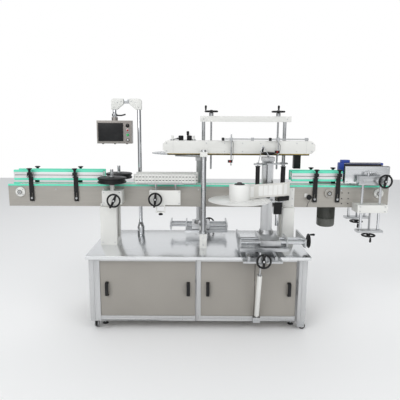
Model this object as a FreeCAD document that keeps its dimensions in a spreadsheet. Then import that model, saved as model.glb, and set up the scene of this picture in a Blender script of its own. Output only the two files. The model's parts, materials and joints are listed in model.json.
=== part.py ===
import FreeCAD, Part
import math
import os
import re
import Sketcher

# Three-side labelling machine: a slat conveyor over a stainless table on a panelled cabinet,
# with a bottle separator, two guide chains, an overhead press belt, a label head on each side
# and a wrap-round station at the outlet.
# Millimetres. +X runs along the conveyor from inlet to outlet, +Y to the back, +Z up.
# The origin is on the floor, under the middle of the table.

V = FreeCAD.Vector
doc = FreeCAD.newDocument("labelling_machine")
sheet = doc.addObject("Spreadsheet::Sheet", "Dims")

# Driving dimensions. Every other size is worked out from these in the bound expressions.
SIZES = {
    # table and cabinet
    "table_len": 1650, "table_deep": 820, "table_height": 585, "table_lip": 25, "sheet_gauge": 4,
    "cabinet_len": 1616, "cabinet_deep": 760, "cabinet_clear": 75,
    "post_wide": 80, "profile": 40, "slot_wide": 8, "slot_depth": 5,
    "panel_gauge": 3, "panel_inset": 4, "panel_gap": 0.3, "pull_height": 110, "pull_reach": 32, "pull_thick": 12,
    "pull_from_post": 52, "panel_seam": 418, "seam_gap": 4, "foot_dia": 45, "foot_inset": 108, "foot_stud": 14, "foot_stud_len": 18,
    "foot_pad_high": 10,
    # casters
    "caster_dia": 50, "caster_wide": 20, "caster_inset": 38, "caster_trail": 22, "caster_plate": 62,
    "caster_cheek": 3, "axle_dia": 8,
    # conveyor
    "conveyor_len": 3000, "conveyor_wide": 114, "plate_height": 171, "plate_gauge": 5,
    "chain_wide": 82.5, "chain_loop": 60, "chain_thick": 4, "chain_pitch": 38.1, "chain_proud": 2,
    "chain_groove": 2, "inlet_shaft_inset": 95, "outlet_shaft_inset": 80, "drive_inset": 470,
    "shaft_dia": 20, "shaft_out": 24, "sprocket_wide": 30, "sprocket_tooth": 8, "sprocket_teeth": 12,
    "running_gap": 0.05, "slack_gap": 0.3, "overcut": 1, "tie_dia": 16, "tie_pitch": 375, "runner_wide": 12,
    "runner_offset": 24, "wear_lip": 14, "wear_gauge": 4, "flange_dia": 76, "flange_thick": 12,
    "flange_hub": 44,
    # gearmotor on the back plate
    "gearbox_wide": 160, "gearbox_high": 130, "gearbox_deep": 130, "gearbox_shift": 20, "motor_shift": 40,
    "motor_spacer": 14, "motor_neck": 26, "motor_dia": 146, "motor_len": 215, "fan_cover_len": 70,
    "fin_count": 12, "fin_out": 6,
    # conveyor stands
    "stand_mid": 711, "inlet_stand_wide": 130, "outlet_stand_wide": 91, "stand_deep": 190, "cheek_gauge": 8,
    "inlet_cheek_up": 24, "outlet_cheek_up": 155,
    # guide rails and their brackets
    "rail_height": 81, "rail_thick": 16, "bead_height": 18, "bead_thick": 7,
    "product_gap": 84, "inlet_rail_start": 1450, "inlet_rail_end": 750,
    "outlet_rail_start": 730, "outlet_rail_end": 1132, "arm_wide": 34, "arm_thick": 9,
    "arm_slot": 9, "clamp_side": 30, "clamp_out": 44, "rail_rod_dia": 12, "rail_rod_len": 92, "knob_dia": 32,
    "knob_height": 20, "inlet_arm_outer": 1314, "inlet_arm_inner": 963, "outlet_arm_inner": 917,
    "outlet_arm_outer": 1096,
    # handwheels
    "wheel_dia": 108, "wheel_rim": 14, "wheel_hub": 26, "wheel_spoke": 16, "grip_len": 46, "grip_dia": 17,
    "screw_dia": 16, "screw_pitch": 4,
    # bottle separator
    "separator_at": 662, "separator_out": 152, "separator_dia": 218,
    "separator_thick": 45, "separator_groove": 9, "separator_hub": 46, "separator_axle": 24,
    "separator_boss": 14, "separator_nut": 10, "separator_stub": 60, "separator_wall": 12,
    "separator_box_wide": 150, "separator_box_high": 105, "separator_tube": 34,
    "separator_wheel_out": 236, "separator_screw_off": 24,
    # guide chains
    "lane_mid": 255, "lane_len": 500, "lane_wide": 50, "lane_height": 66, "lane_gap": 104,
    "lane_link": 25, "lane_rod_dia": 18, "lane_plate_wide": 235, "lane_plate_high": 112,
    "lane_plate_out": 186, "lane_block_out": 112, "lane_block_deep": 34, "lane_wheel_at": 327,
    "lane_bar_dia": 16,
    # gantry
    "gantry_left": 38, "gantry_right": 696, "column_dia": 40, "column_out": 126, "front_column_out": 147,
    "lift_rod_dia": 28, "beam_high": 44,
    "beam_left": 12, "beam_right": 730, "beam_deep": 124, "lift_left": 98, "lift_right": 627, "lift_back": 45,
    "column_block": 56, "column_block_high": 110, "lift_wheel_up": 36, "lift_screw_below": 130,
    # overhead press
    "press_left": 279, "press_right": 904, "press_height": 98, "press_deep": 120,
    "press_corner": 26, "belt_wide": 56, "belt_thick": 15, "belt_inset": 30, "press_ear": 56, "ear_high": 36,
    "press_motor_at": 796, "press_motor_side": 54, "press_motor_len": 135, "post_dia": 18, "post_high": 38,
    "post_left": 206, "post_right": 39, "knob_left": 140, "knob_right": 74,
    # sensor brackets
    "sensor_bar_dia": 10, "sensor_bar_left": 207, "sensor_bar_right": 854, "sensor_bar_lift": 14,
    "sensor_grip_left": 417, "sensor_grip_right": 838, "sensor_left": 250, "sensor_right": 612,
    "sensor_out": 84, "sensor_side": 22,
    # screen post and control box
    "screen_post_at": 495, "screen_post_back": 214, "screen_post_dia": 32, "screen_foot_dia": 62,
    "screen_foot_high": 78, "screen_cone_high": 44, "elbow_high": 88, "elbow_long": 100,
    "elbow_deep": 46, "arm_bar": 14, "neck_at": 697, "neck_dia": 30, "box_wide": 286, "box_high": 188,
    "box_deep": 84, "box_corner": 8, "screen_wide": 205, "screen_high": 148,
    "bezel_gauge": 5, "control_at": 32, "switch_dia": 26, "button_dia": 22, "button_out": 9, "button_travel": 4,
    # label heads
    "head_at": 450, "head_base_wide": 276, "head_base_out": 560, "head_base_in": 78, "base_gauge": 14,
    "base_end": 20, "way_wide": 20, "way_high": 26, "way_offset": 96, "saddle_right": 660, "saddle_long": 270,
    "saddle_out": 272, "saddle_thick": 24, "cross_left": 302, "cross_right": 792, "cross_plate": 12,
    "cross_rod_dia": 24, "cross_rod_gap": 112, "cross_plate_high": 66,
    "cross_rod_mid": 281, "cross_plate_out": 372, "cross_plate_in": 60, "carriage_wide": 150,
    "carriage_high": 40, "head_column_at": 530, "head_column_out": 118, "head_column_side": 78,
    "head_flange_dia": 116, "head_flange_high": 30, "head_cap": 30,
    "sleeve_wall": 14, "sleeve_high": 96, "arm_gauge": 10, "reel_at": 298,
    "reel_out": 318, "reel_dia": 456, "reel_gauge": 6, "reel_rise": 7, "roll_dia": 150,
    "roll_core": 76, "roll_high": 112, "spindle_dia": 30, "feed_dia": 38, "feed_at": 439, "feed_out": 232,
    "feed_high": 226, "nip_dia": 42, "nip_at": 648, "nip_out": 128,
    "nip_high": 150, "roller_shaft": 10, "roller_lip": 4, "roller_stub": 8, "plate_margin": 28,
    "web_gauge": 1, "web_clear": 6, "web_lead": 2, "web_tail": 62, "web_margin": 4, "drive_box": 62,
    "drive_box_high": 96, "drive_can_dia": 28, "drive_can_len": 96, "base_wheel_out": 596,
    "strut_at": 437, "strut_dia": 34, "strut_foot": 56, "strut_rod_dia": 12,
    # rear label head
    "rear_head_at": 100, "rear_base_in": 160, "rear_plate_in": 165, "rear_saddle_out": 300,
    "rear_column_out": 232, "rear_reel_at": 172, "rear_reel_out": 300,
    # wrap-round station
    "wrap_left": 1141, "wrap_right": 1492, "wrap_high": 136, "wrap_pad_thick": 34,
    "wrap_out": 140, "wrap_rod_left": 1262, "wrap_rod_right": 1400, "wrap_rod_dia": 20, "wrap_screw_at": 1331,
    "wrap_block_wide": 230, "wrap_block_deep": 100, "wrap_block_high": 60,
    "wrap_foot_high": 18, "wrap_top_high": 66,
    "wrap_belt_left": 1136, "wrap_belt_high": 150, "wrap_belt_deep": 60, "wrap_bar_dia": 14,
    "wrap_screw_off": 8, "wrap_wheel_out": 40, "wrap_box_wide": 68, "wrap_box_high": 24,
}

# Levels above the table's face, in the order of the machine from its inlet to its outlet
LEVELS = {
    "plate_low": 306, "rail_low": 512, "arm_low": 347, "separator_low": 505, "separator_box_low": 343,
    "separator_wheel_height": 381, "lane_low": 500, "lane_plate_low": 343, "lane_wheel_height": 389,
    "front_column_top": 760, "rear_column_top": 565, "beam_low": 971, "press_low": 727,
    "sensor_left_top": 877, "sensor_left_low": 637, "sensor_right_top": 857, "sensor_right_low": 711,
    "elbow_low": 1067, "box_low": 790, "cross_height": 91, "head_column_top": 677, "sleeve_low": 361,
    "reel_height": 401, "feed_low": 421, "nip_low": 485, "rear_reel_height": 705, "wrap_low": 499,
    "wrap_block_low": 287, "wrap_foot_low": 127, "wrap_rear_foot_low": 177,
}
CELLS = {word: str(size) for word, size in SIZES.items()}
CELLS.update({word: f"=table_height + {rise}" for word, rise in LEVELS.items()})
CELLS["drive_from_middle"] = "=conveyor_len / 2 - drive_inset"

for row, (word, text) in enumerate(CELLS.items(), start=1):
    sheet.set(f"A{row}", text)
    sheet.setAlias(f"A{row}", word)
doc.recompute()

WORD = re.compile(r"[a-z][a-z0-9_]*")
TURN = {
    "+Z": FreeCAD.Rotation(V(0, 0, 1), 0),
    "-Z": FreeCAD.Rotation(V(1, 0, 0), 180),
    "+X": FreeCAD.Rotation(V(0, 1, 0), 90),
    "-X": FreeCAD.Rotation(V(0, 1, 0), -90),
    "+Y": FreeCAD.Rotation(V(1, 0, 0), -90),
    "-Y": FreeCAD.Rotation(V(1, 0, 0), 90),
    "face": FreeCAD.Rotation(V(0, 0, 1), V(0, -1, 0), V(1, 0, 0), "XYZ"),
    "along": FreeCAD.Rotation(V(0, 1, 0), V(0, 0, 1), V(1, 0, 0), "XYZ"),
    "upright": FreeCAD.Rotation(V(1, 0, 0), V(0, 0, 1), V(0, -1, 0), "XYZ"),
}
ORIGIN = ("0", "0", "0")
counter = {}


# Helpers: names, bound expressions and the basic solids

def bound(text):
    """The expression with each driving dimension written as its cell in the sheet."""
    return WORD.sub(lambda m: "Dims." + m.group(0) if m.group(0) in CELLS else m.group(0), text)


def fresh(kind):
    counter[kind] = counter.get(kind, 0) + 1
    return f"{kind}_{counter[kind]}"


def put(part, at, direction="+Z", turn=0):
    """Place an object: its own +Z along direction, its origin at three bound coordinates."""
    spin = FreeCAD.Rotation(V(0, 0, 1), turn)
    part.Placement = FreeCAD.Placement(V(0, 0, 0), TURN[direction].multiply(spin))
    for axis, text in zip("xyz", at):
        part.setExpression("Placement.Base." + axis, bound(text))
    return part


def block(size, low):
    """A box of three bound lengths, from its lowest corner."""
    part = doc.addObject("Part::Box", fresh("block"))
    for side, text in zip(("Length", "Width", "Height"), size):
        part.setExpression(side, bound(text))
    return put(part, low)


def round_bar(dia, length, start, direction="+Z"):
    part = doc.addObject("Part::Cylinder", fresh("bar"))
    part.setExpression("Radius", bound(f"({dia}) / 2"))
    part.setExpression("Height", bound(length))
    return put(part, start, direction)


def cone(dia_low, dia_high, length, start, direction="+Z"):
    part = doc.addObject("Part::Cone", fresh("cone"))
    part.setExpression("Radius1", bound(f"({dia_low}) / 2"))
    part.setExpression("Radius2", bound(f"({dia_high}) / 2"))
    part.setExpression("Height", bound(length))
    return put(part, start, direction)


def sketch_in(body, plane, corners):
    """A closed outline of straight lines in a body, every corner bound to the sheet."""
    outline = body.newObject("Sketcher::SketchObject", body.Name + "_outline")
    plane_object = [f for f in body.Origin.OriginFeatures if f.Role == plane][0]
    outline.AttachmentSupport = [(plane_object, "")]
    outline.MapMode = "FlatFace"
    total = len(corners)
    rough = [V(100 * math.cos(k * math.tau / total), 100 * math.sin(k * math.tau / total), 0)
             for k in range(total)]
    for k in range(total):
        outline.addGeometry(Part.LineSegment(rough[k], rough[(k + 1) % total]), False)
    for k in range(total):
        outline.addConstraint(Sketcher.Constraint("Coincident", k, 2, (k + 1) % total, 1))
    for k, corner in enumerate(corners):
        for kind, text in zip(("DistanceX", "DistanceY"), corner):
            index = outline.addConstraint(Sketcher.Constraint(kind, -1, 1, k, 1, 1.0))
            outline.setExpression(f"Constraints[{index}]", bound(text))
    return outline


def padded(corners, length, at, plane="XY_Plane", both_ways=False):
    """A PartDesign body: an outline padded to a bound length."""
    body = doc.addObject("PartDesign::Body", fresh("profile"))
    outline = sketch_in(body, plane, corners)
    pad = body.newObject("PartDesign::Pad", body.Name + "_pad")
    pad.Profile = outline
    pad.setExpression("Length", bound(length))
    if both_ways:
        pad.Midplane = True
    return put(body, at)


def turned(corners, at, direction="+Z"):
    """A PartDesign body: an outline of radius and height revolved about its height axis."""
    body = doc.addObject("PartDesign::Body", fresh("turning"))
    outline = sketch_in(body, "XZ_Plane", corners)
    spin = body.newObject("PartDesign::Revolution", body.Name + "_spin")
    spin.Profile = outline
    spin.ReferenceAxis = (outline, ["V_Axis"])
    spin.Angle = 360
    return put(body, at, direction)


def fuse(parts):
    part = doc.addObject("Part::MultiFuse", fresh("fused"))
    part.Shapes = parts
    part.Refine = True
    return part


def cut(base, tools):
    """The base less every tool."""
    part = doc.addObject("Part::Cut", fresh("cut"))
    part.Base = base
    part.Tool = tools[0] if len(tools) == 1 else joined(tools)
    part.Refine = True
    return part


def joined(parts):
    part = doc.addObject("Part::Compound", fresh("set"))
    part.Links = parts
    return part


def turned_set(part, axis, angle, at):
    """The part in its own frame, that frame turned about an axis and moved to a bound place."""
    holder = joined([part])
    holder.Placement = FreeCAD.Placement(V(0, 0, 0), FreeCAD.Rotation(axis, angle))
    for letter, text in zip("xyz", at):
        holder.setExpression("Placement.Base." + letter, bound(text))
    return holder


NODES = []


def node(label, parts):
    """One named sub-part: its separate solids side by side in one object."""
    part = doc.addObject("Part::Compound", "node_" + label)
    part.Links = parts
    part.Label = label
    NODES.append(part)
    return part


# Shared pieces

def handwheel(at, direction, screw_len, turn):
    """Two-spoke handwheel on the end of its screw; the screw runs back from the hub."""
    rim = turned([("wheel_dia / 2 - wheel_rim", "0"), ("wheel_dia / 2 - wheel_rim / 2", "0 - wheel_rim / 2"),
                  ("wheel_dia / 2", "0"), ("wheel_dia / 2 - wheel_rim / 2", "wheel_rim / 2")],
                 ORIGIN)
    hub = round_bar("wheel_hub", "wheel_rim * 1.6", ("0", "0", "0 - wheel_rim * 0.8"))
    spoke = block(("wheel_dia - wheel_rim * 1.2", "wheel_spoke", "wheel_rim * 0.5"),
                  ("0 - wheel_dia / 2 + wheel_rim * 0.6", "0 - wheel_spoke / 2", "0 - wheel_rim * 0.25"))
    grip_body = cone("grip_dia * 0.7", "grip_dia", "grip_len", ("wheel_dia / 2 - wheel_rim / 2", "0", "0"))
    screw = round_bar("screw_dia", screw_len, ORIGIN, "-Z")
    wheel = fuse([rim, hub, spoke, grip_body, screw])
    return put(wheel, at, direction, turn)


def clamp_knob(at, direction="+Z"):
    """A moulded clamping knob: a waisted stem under a broad cap."""
    return turned([("0", "0"), ("knob_dia * 0.28", "0"), ("knob_dia * 0.28", "knob_height * 0.4"),
                   ("knob_dia / 2", "knob_height * 0.5"), ("knob_dia / 2", "knob_height * 0.85"),
                   ("knob_dia * 0.4", "knob_height"), ("0", "knob_height")], at, direction)


# Table and cabinet

def table():
    skin = block(("table_len", "table_deep", "table_lip"),
                 ("0 - table_len / 2", "0 - table_deep / 2", "table_height - table_lip"))
    hollow = block(("table_len - 2 * sheet_gauge", "table_deep - 2 * sheet_gauge", "table_lip"),
                   ("0 - table_len / 2 + sheet_gauge", "0 - table_deep / 2 + sheet_gauge",
                    "table_height - table_lip - sheet_gauge"))
    node("table_top", [cut(skin, [hollow])])


def slotted_bar(length, wide, deep, low, direction):
    """Aluminium profile bar: a box with a slot down each long face."""
    spans = {"X": (length, wide, deep), "Y": (wide, length, deep), "Z": (wide, deep, length)}[direction]
    bar = block(spans, low)
    slots = []
    across = [axis for axis in "XYZ" if axis != direction]
    for face_axis in across:
        other = [axis for axis in across if axis != face_axis][0]
        order = {"X": 0, "Y": 1, "Z": 2}
        thick = spans[order[face_axis]]
        middle = spans[order[other]]
        for far in (False, True):
            size = ["", "", ""]
            corner = ["", "", ""]
            size[order[direction]] = f"({length}) + 2 * overcut"
            corner[order[direction]] = f"{low[order[direction]]} - overcut"
            size[order[face_axis]] = "slot_depth + overcut"
            shift = f"({thick}) - slot_depth" if far else "0 - overcut"
            corner[order[face_axis]] = f"{low[order[face_axis]]} + {shift}"
            size[order[other]] = "slot_wide"
            corner[order[other]] = f"{low[order[other]]} + ({middle}) / 2 - slot_wide / 2"
            slots.append(block(size, corner))
    return cut(bar, slots)


def cabinet():
    inner_top = "table_height - sheet_gauge"
    post_len = f"({inner_top}) - cabinet_clear"
    rail_len = "cabinet_len / 2 - post_wide - profile / 2"
    bars = []
    for side in ("0 - cabinet_len / 2", "cabinet_len / 2 - post_wide"):
        for back in ("0 - cabinet_deep / 2", "cabinet_deep / 2 - profile"):
            bars.append(slotted_bar(post_len, "post_wide", "profile", (side, back, "cabinet_clear"), "Z"))
    for back in ("0 - cabinet_deep / 2", "cabinet_deep / 2 - profile"):
        bars.append(slotted_bar(post_len, "profile", "profile", ("0 - profile / 2", back, "cabinet_clear"), "Z"))
        for level in ("cabinet_clear", f"{inner_top} - profile"):
            for start in ("0 - cabinet_len / 2 + post_wide", "profile / 2"):
                bars.append(slotted_bar(rail_len, "profile", "profile", (start, back, level), "X"))
    for side in ("0 - cabinet_len / 2", "cabinet_len / 2 - profile"):
        for level in ("cabinet_clear", f"{inner_top} - profile"):
            bars.append(slotted_bar("cabinet_deep - 2 * profile", "profile", "profile",
                                    (side, "0 - cabinet_deep / 2 + profile", level), "Y"))
    for side in (-1, 1):
        for back in (-1, 1):
            place = (f"{side} * (cabinet_len / 2 - foot_inset)", f"{back} * (cabinet_deep / 2 - profile / 2)")
            stud = round_bar("foot_stud", "foot_stud_len", (*place, "cabinet_clear"), "-Z")
            pad = cone("foot_dia", "foot_dia * 0.6", "foot_pad_high",
                       (*place, "cabinet_clear - foot_stud_len - foot_pad_high + overcut"))
            bars.append(fuse([stud, pad]))
            bars.append(block(("caster_plate", "caster_plate", "caster_cheek"),
                              (f"{side} * (cabinet_len / 2 - caster_inset) - caster_plate / 2",
                               f"{back} * (cabinet_deep / 2 - caster_inset) - caster_plate / 2",
                               "cabinet_clear - caster_cheek")))
    node("cabinet_frame", bars)


def panels():
    inner_top = "table_height - sheet_gauge - profile"
    low = "cabinet_clear + profile"
    high = f"({inner_top}) - ({low})"
    deep = "cabinet_deep - 2 * profile"
    fixed = []
    for side in ("0 - cabinet_len / 2 + panel_inset", "cabinet_len / 2 - panel_inset - panel_gauge"):
        fixed.append(block(("panel_gauge", deep, high), (side, "0 - cabinet_deep / 2 + profile", low)))
    for start in ("0 - cabinet_len / 2 + post_wide", "profile / 2"):
        fixed.append(block(("cabinet_len / 2 - post_wide - profile / 2", "panel_gauge", high),
                           (start, "cabinet_deep / 2 - panel_inset - panel_gauge", low)))
    fixed.append(block(("cabinet_len - 2 * profile", deep, "panel_gauge"),
                       ("0 - cabinet_len / 2 + profile", "0 - cabinet_deep / 2 + profile",
                        "cabinet_clear + panel_inset")))
    face = "0 - cabinet_deep / 2 + panel_inset"
    skin_size = ("panel_gauge", f"{high} - 2 * panel_gap")
    middle = f"({low} + {inner_top}) / 2"

    def front_panel(start, wide, pulls):
        """A front panel's skin and its D-shaped pulls."""
        pieces = [block((wide, *skin_size), (start, face, f"{low} + panel_gap"))]
        for pull in pulls:
            grip = padded([("0 - pull_height / 2", "0"), ("0 - pull_height / 2 + pull_thick", "0"),
                           ("0 - pull_height / 2 + pull_thick * 1.4", "pull_reach - pull_thick"),
                           ("pull_height / 2 - pull_thick * 1.4", "pull_reach - pull_thick"),
                           ("pull_height / 2 - pull_thick", "0"), ("pull_height / 2", "0"),
                           ("pull_height / 2 - pull_thick * 0.5", "pull_reach"),
                           ("0 - pull_height / 2 + pull_thick * 0.5", "pull_reach")],
                          "pull_thick", ORIGIN, both_ways=True)
            pieces.append(put(joined([grip]), (pull, face, middle), "face"))
        return pieces

    left = "0 - cabinet_len / 2 + post_wide + panel_gap"
    left_wide = "cabinet_len / 2 - post_wide - profile / 2 - 2 * panel_gap"
    right_end = "cabinet_len / 2 - post_wide - panel_gap"
    node("front_panel_left", front_panel(left, left_wide, (
        f"{left} + pull_from_post", "0 - profile / 2 - panel_gap - pull_from_post")))
    node("front_panel_right", front_panel("profile / 2 + panel_gap", "panel_seam - profile / 2 - panel_gap", (
        "profile / 2 + panel_gap + pull_from_post",)))
    fixed += front_panel("panel_seam + seam_gap", f"{right_end} - panel_seam - seam_gap", (
        f"{right_end} - pull_from_post",))
    node("cabinet_panels", fixed)


def casters():
    for side_word, side in (("left", -1), ("right", 1)):
        for end_word, back in (("front", -1), ("rear", 1)):
            stem = (f"{side} * (cabinet_len / 2 - caster_inset)", f"{back} * (cabinet_deep / 2 - caster_inset)")
            along_x = side > 0
            centre = ((f"{stem[0]} + caster_trail", stem[1]) if along_x
                      else (stem[0], f"{stem[1]} + caster_trail"))
            height = "caster_dia / 2"
            half = "(caster_wide / 2 + slack_gap + caster_cheek)"
            plate = round_bar("caster_plate * 0.8", "caster_cheek * 2 - slack_gap",
                              (*stem, "cabinet_clear - caster_cheek * 3"))
            cheeks = []
            span = "caster_trail + caster_dia * 0.62"
            for sign in (-1, 1):
                shift = f"{sign} * ({half} - caster_cheek / 2) - caster_cheek / 2"
                tall = "cabinet_clear - caster_cheek * 3 - caster_dia * 0.32"
                if along_x:
                    low = (f"{stem[0]} - caster_dia * 0.3", f"{stem[1]} + {shift}", "caster_dia * 0.32")
                    cheeks.append(block((span, "caster_cheek", tall), low))
                else:
                    low = (f"{stem[0]} + {shift}", f"{stem[1]} - caster_dia * 0.3", "caster_dia * 0.32")
                    cheeks.append(block(("caster_cheek", span, tall), low))
            crown_size = ((span, f"2 * {half}", "caster_cheek") if along_x
                          else (f"2 * {half}", span, "caster_cheek"))
            crown_low = ((f"{stem[0]} - caster_dia * 0.3", f"{stem[1]} - {half}") if along_x
                         else (f"{stem[0]} - {half}", f"{stem[1]} - caster_dia * 0.3"))
            crown = block(crown_size, (*crown_low, "cabinet_clear - caster_cheek * 4"))
            start = ((centre[0], f"{centre[1]} - {half}", height) if along_x
                     else (f"{centre[0]} - {half}", centre[1], height))
            axle = round_bar("axle_dia", f"2 * {half}", start, "+Y" if along_x else "+X")
            node(f"caster_fork_{end_word}_{side_word}", [fuse([plate, crown, axle] + cheeks)])
            tread = turned([("axle_dia / 2 + running_gap", "0 - caster_wide / 2"),
                            ("caster_dia * 0.42", "0 - caster_wide / 2"),
                            ("caster_dia / 2", "0 - caster_wide * 0.3"), ("caster_dia / 2", "caster_wide * 0.3"),
                            ("caster_dia * 0.42", "caster_wide / 2"),
                            ("axle_dia / 2 + running_gap", "caster_wide / 2")],
                           (*centre, height), "+Y" if along_x else "+X")
            node(f"caster_wheel_{end_word}_{side_word}", [tread])


# Conveyor

def stadium(reach_left, reach_right, radius, wide, height):
    """A flat loop form seen from the front: two round ends joined by straight runs."""
    mid = block((f"{reach_left} + {reach_right}", wide, f"2 * ({radius})"),
                (f"0 - ({reach_left})", f"0 - ({wide}) / 2", f"{height} - ({radius})"))
    ends = [round_bar(f"2 * ({radius})", wide, (x, f"0 - ({wide}) / 2", height), "+Y")
            for x in (f"0 - ({reach_left})", reach_right)]
    return fuse([mid] + ends)


INLET_SHAFT = "conveyor_len / 2 - inlet_shaft_inset"
OUTLET_SHAFT = "conveyor_len / 2 - outlet_shaft_inset"
PLATE_TOP = "plate_low + plate_height"
SHAFT_HEIGHT = "plate_low + plate_height + chain_proud - chain_loop"
CHAIN_INNER = "chain_loop - chain_thick"


def conveyor():
    outer = "0 - conveyor_wide / 2"
    parts = []
    for face in (outer, "conveyor_wide / 2 - plate_gauge"):
        plate = block(("conveyor_len", "plate_gauge", "plate_height"),
                      ("0 - conveyor_len / 2", face, "plate_low"))
        holes = [round_bar("shaft_dia * 1.3", "plate_gauge + 2 * overcut",
                           (x, f"{face} - overcut", SHAFT_HEIGHT), "+Y")
                 for x in (f"0 - ({INLET_SHAFT})", "drive_from_middle", OUTLET_SHAFT)]
        parts.append(cut(plate, holes))
    ties = int((SIZES["conveyor_len"] - 2 * SIZES["inlet_shaft_inset"]) / SIZES["tie_pitch"])
    gap = "conveyor_wide - 2 * plate_gauge"
    for k in range(ties):
        place = f"{k} * tie_pitch - {(ties - 1) / 2} * tie_pitch"
        parts.append(round_bar("tie_dia", gap,
                               (place, f"0 - ({gap}) / 2", f"{SHAFT_HEIGHT} + tie_dia * 1.4"), "+Y"))
    runner_low = f"{SHAFT_HEIGHT} + tie_dia * 1.9"
    runner_high = f"({CHAIN_INNER}) - tie_dia * 1.9 - slack_gap"
    for side in (-1, 1):
        parts.append(block((f"{INLET_SHAFT} + drive_from_middle - 4 * chain_loop", "runner_wide", runner_high),
                           (f"0 - ({INLET_SHAFT}) + 2 * chain_loop", f"{side} * runner_offset - runner_wide / 2",
                            runner_low)))
    for x in (f"0 - ({INLET_SHAFT})", "drive_from_middle", OUTLET_SHAFT):
        for side in (-1, 1):
            if x == "drive_from_middle" and side > 0:
                continue
            face = (x, f"{side} * conveyor_wide / 2", SHAFT_HEIGHT)
            out = "-Y" if side < 0 else "+Y"
            housing = round_bar("flange_dia", "flange_thick", face, out)
            boss = round_bar("flange_hub", "flange_thick * 1.7", face, out)
            bore = round_bar("shaft_dia + 2 * running_gap", "flange_thick * 2", face, out)
            parts.append(cut(fuse([housing, boss]), [bore]))
    node("conveyor_frame", parts)

    caps = []
    for side in (-1, 1):
        mid = f"{side} * (conveyor_wide / 2 - plate_gauge / 2)"
        cap = block(("conveyor_len", "plate_gauge + 2 * wear_gauge", "wear_lip"),
                    ("0 - conveyor_len / 2", f"{mid} - plate_gauge / 2 - wear_gauge",
                     f"{PLATE_TOP} - wear_lip + wear_gauge"))
        groove = block(("conveyor_len + 2 * overcut", "plate_gauge", "wear_lip"),
                       ("0 - conveyor_len / 2 - overcut", f"{mid} - plate_gauge / 2", f"{PLATE_TOP} - wear_lip"))
        caps.append(cut(cap, [groove]))
    node("wear_strips", caps)

    outside = stadium(INLET_SHAFT, OUTLET_SHAFT, "chain_loop", "chain_wide", SHAFT_HEIGHT)
    inside = stadium(INLET_SHAFT, OUTLET_SHAFT, CHAIN_INNER, "chain_wide + 2 * overcut",
                     SHAFT_HEIGHT)
    run = SIZES["conveyor_len"] - SIZES["inlet_shaft_inset"] - SIZES["outlet_shaft_inset"]
    grooves = [block(("chain_groove", "chain_wide + 2 * overcut", "chain_thick"),
                     (f"{k} * chain_pitch - ({INLET_SHAFT})", "0 - chain_wide / 2 - overcut",
                      f"{PLATE_TOP} + chain_proud - chain_thick / 2"))
               for k in range(int(run / SIZES["chain_pitch"]) + 1)]
    node("conveyor_chain", [cut(outside, [inside] + grooves)])


def shafts():
    long = "conveyor_wide + 2 * shaft_out"
    for name, x in (("inlet_shaft", f"0 - ({INLET_SHAFT})"), ("outlet_shaft", OUTLET_SHAFT),
                    ("drive_shaft", "drive_from_middle")):
        rod = round_bar("shaft_dia", long, (x, f"0 - ({long}) / 2", SHAFT_HEIGHT), "+Y")
        wheel = round_bar(f"2 * ({CHAIN_INNER} - slack_gap)", "sprocket_wide",
                          (x, "0 - sprocket_wide / 2", SHAFT_HEIGHT), "+Y")
        gaps = []
        teeth = SIZES["sprocket_teeth"]
        for k in range(teeth):
            notch = block(("sprocket_tooth", "sprocket_wide + 2 * overcut", "sprocket_tooth"),
                          (f"{CHAIN_INNER} - sprocket_tooth", "0 - sprocket_wide / 2 - overcut",
                           "0 - sprocket_tooth / 2"))
            gaps.append(turned_set(notch, V(0, 1, 0), 360 / teeth * (k + 0.5), (x, "0", SHAFT_HEIGHT)))
        node(name, [fuse([rod, cut(wheel, gaps)])])


def gearmotor():
    """A spacer at the drive shaft, the gearbox behind it and the ribbed motor hanging below."""
    back = "conveyor_wide / 2"
    face = f"{back} + motor_spacer"
    box_low = f"{SHAFT_HEIGHT} - gearbox_high / 2"
    spacer = round_bar("flange_dia", "motor_spacer + overcut", ("drive_from_middle", back, SHAFT_HEIGHT), "+Y")
    gearbox = block(("gearbox_wide", "gearbox_deep", "gearbox_high"),
                    ("drive_from_middle + gearbox_shift - gearbox_wide / 2", face, box_low))
    bore = round_bar("shaft_dia + 2 * running_gap", "shaft_out * 1.2",
                     ("drive_from_middle", back, SHAFT_HEIGHT), "+Y")
    axis = ("drive_from_middle + motor_shift", f"{face} + gearbox_deep / 2")
    top = f"{box_low} - motor_neck"
    neck = cone("gearbox_high * 0.8", "motor_dia", "motor_neck", (*axis, box_low), "-Z")
    shell = round_bar("motor_dia - 2 * fin_out", "motor_len", (*axis, top), "-Z")
    fins = []
    for k in range(SIZES["fin_count"]):
        fin = block(("fin_out * 3", "fin_out * 0.8", "motor_len - fan_cover_len"),
                    ("motor_dia / 2 - fin_out * 3", "0 - fin_out * 0.4", "0"))
        fins.append(turned_set(fin, V(0, 0, 1), 360 / SIZES["fin_count"] * k,
                               (*axis, f"{top} - motor_len + fan_cover_len")))
    cover = turned([("0", "0"), ("motor_dia * 0.42", "0"), ("motor_dia / 2", "motor_dia * 0.12"),
                    ("motor_dia / 2", "fan_cover_len"), ("0", "fan_cover_len")], (*axis, f"{top} - motor_len"))
    box = block(("motor_dia * 0.5", "fin_out * 5", "motor_dia * 0.5"),
                (f"{axis[0]} - motor_dia * 0.25", f"{axis[1]} + motor_dia / 2 - fin_out * 1.5",
                 f"{top} - motor_len * 0.4"))
    node("conveyor_motor", [fuse([cut(fuse([spacer, gearbox]), [bore]), neck, shell, cover, box] + fins)])


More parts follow.
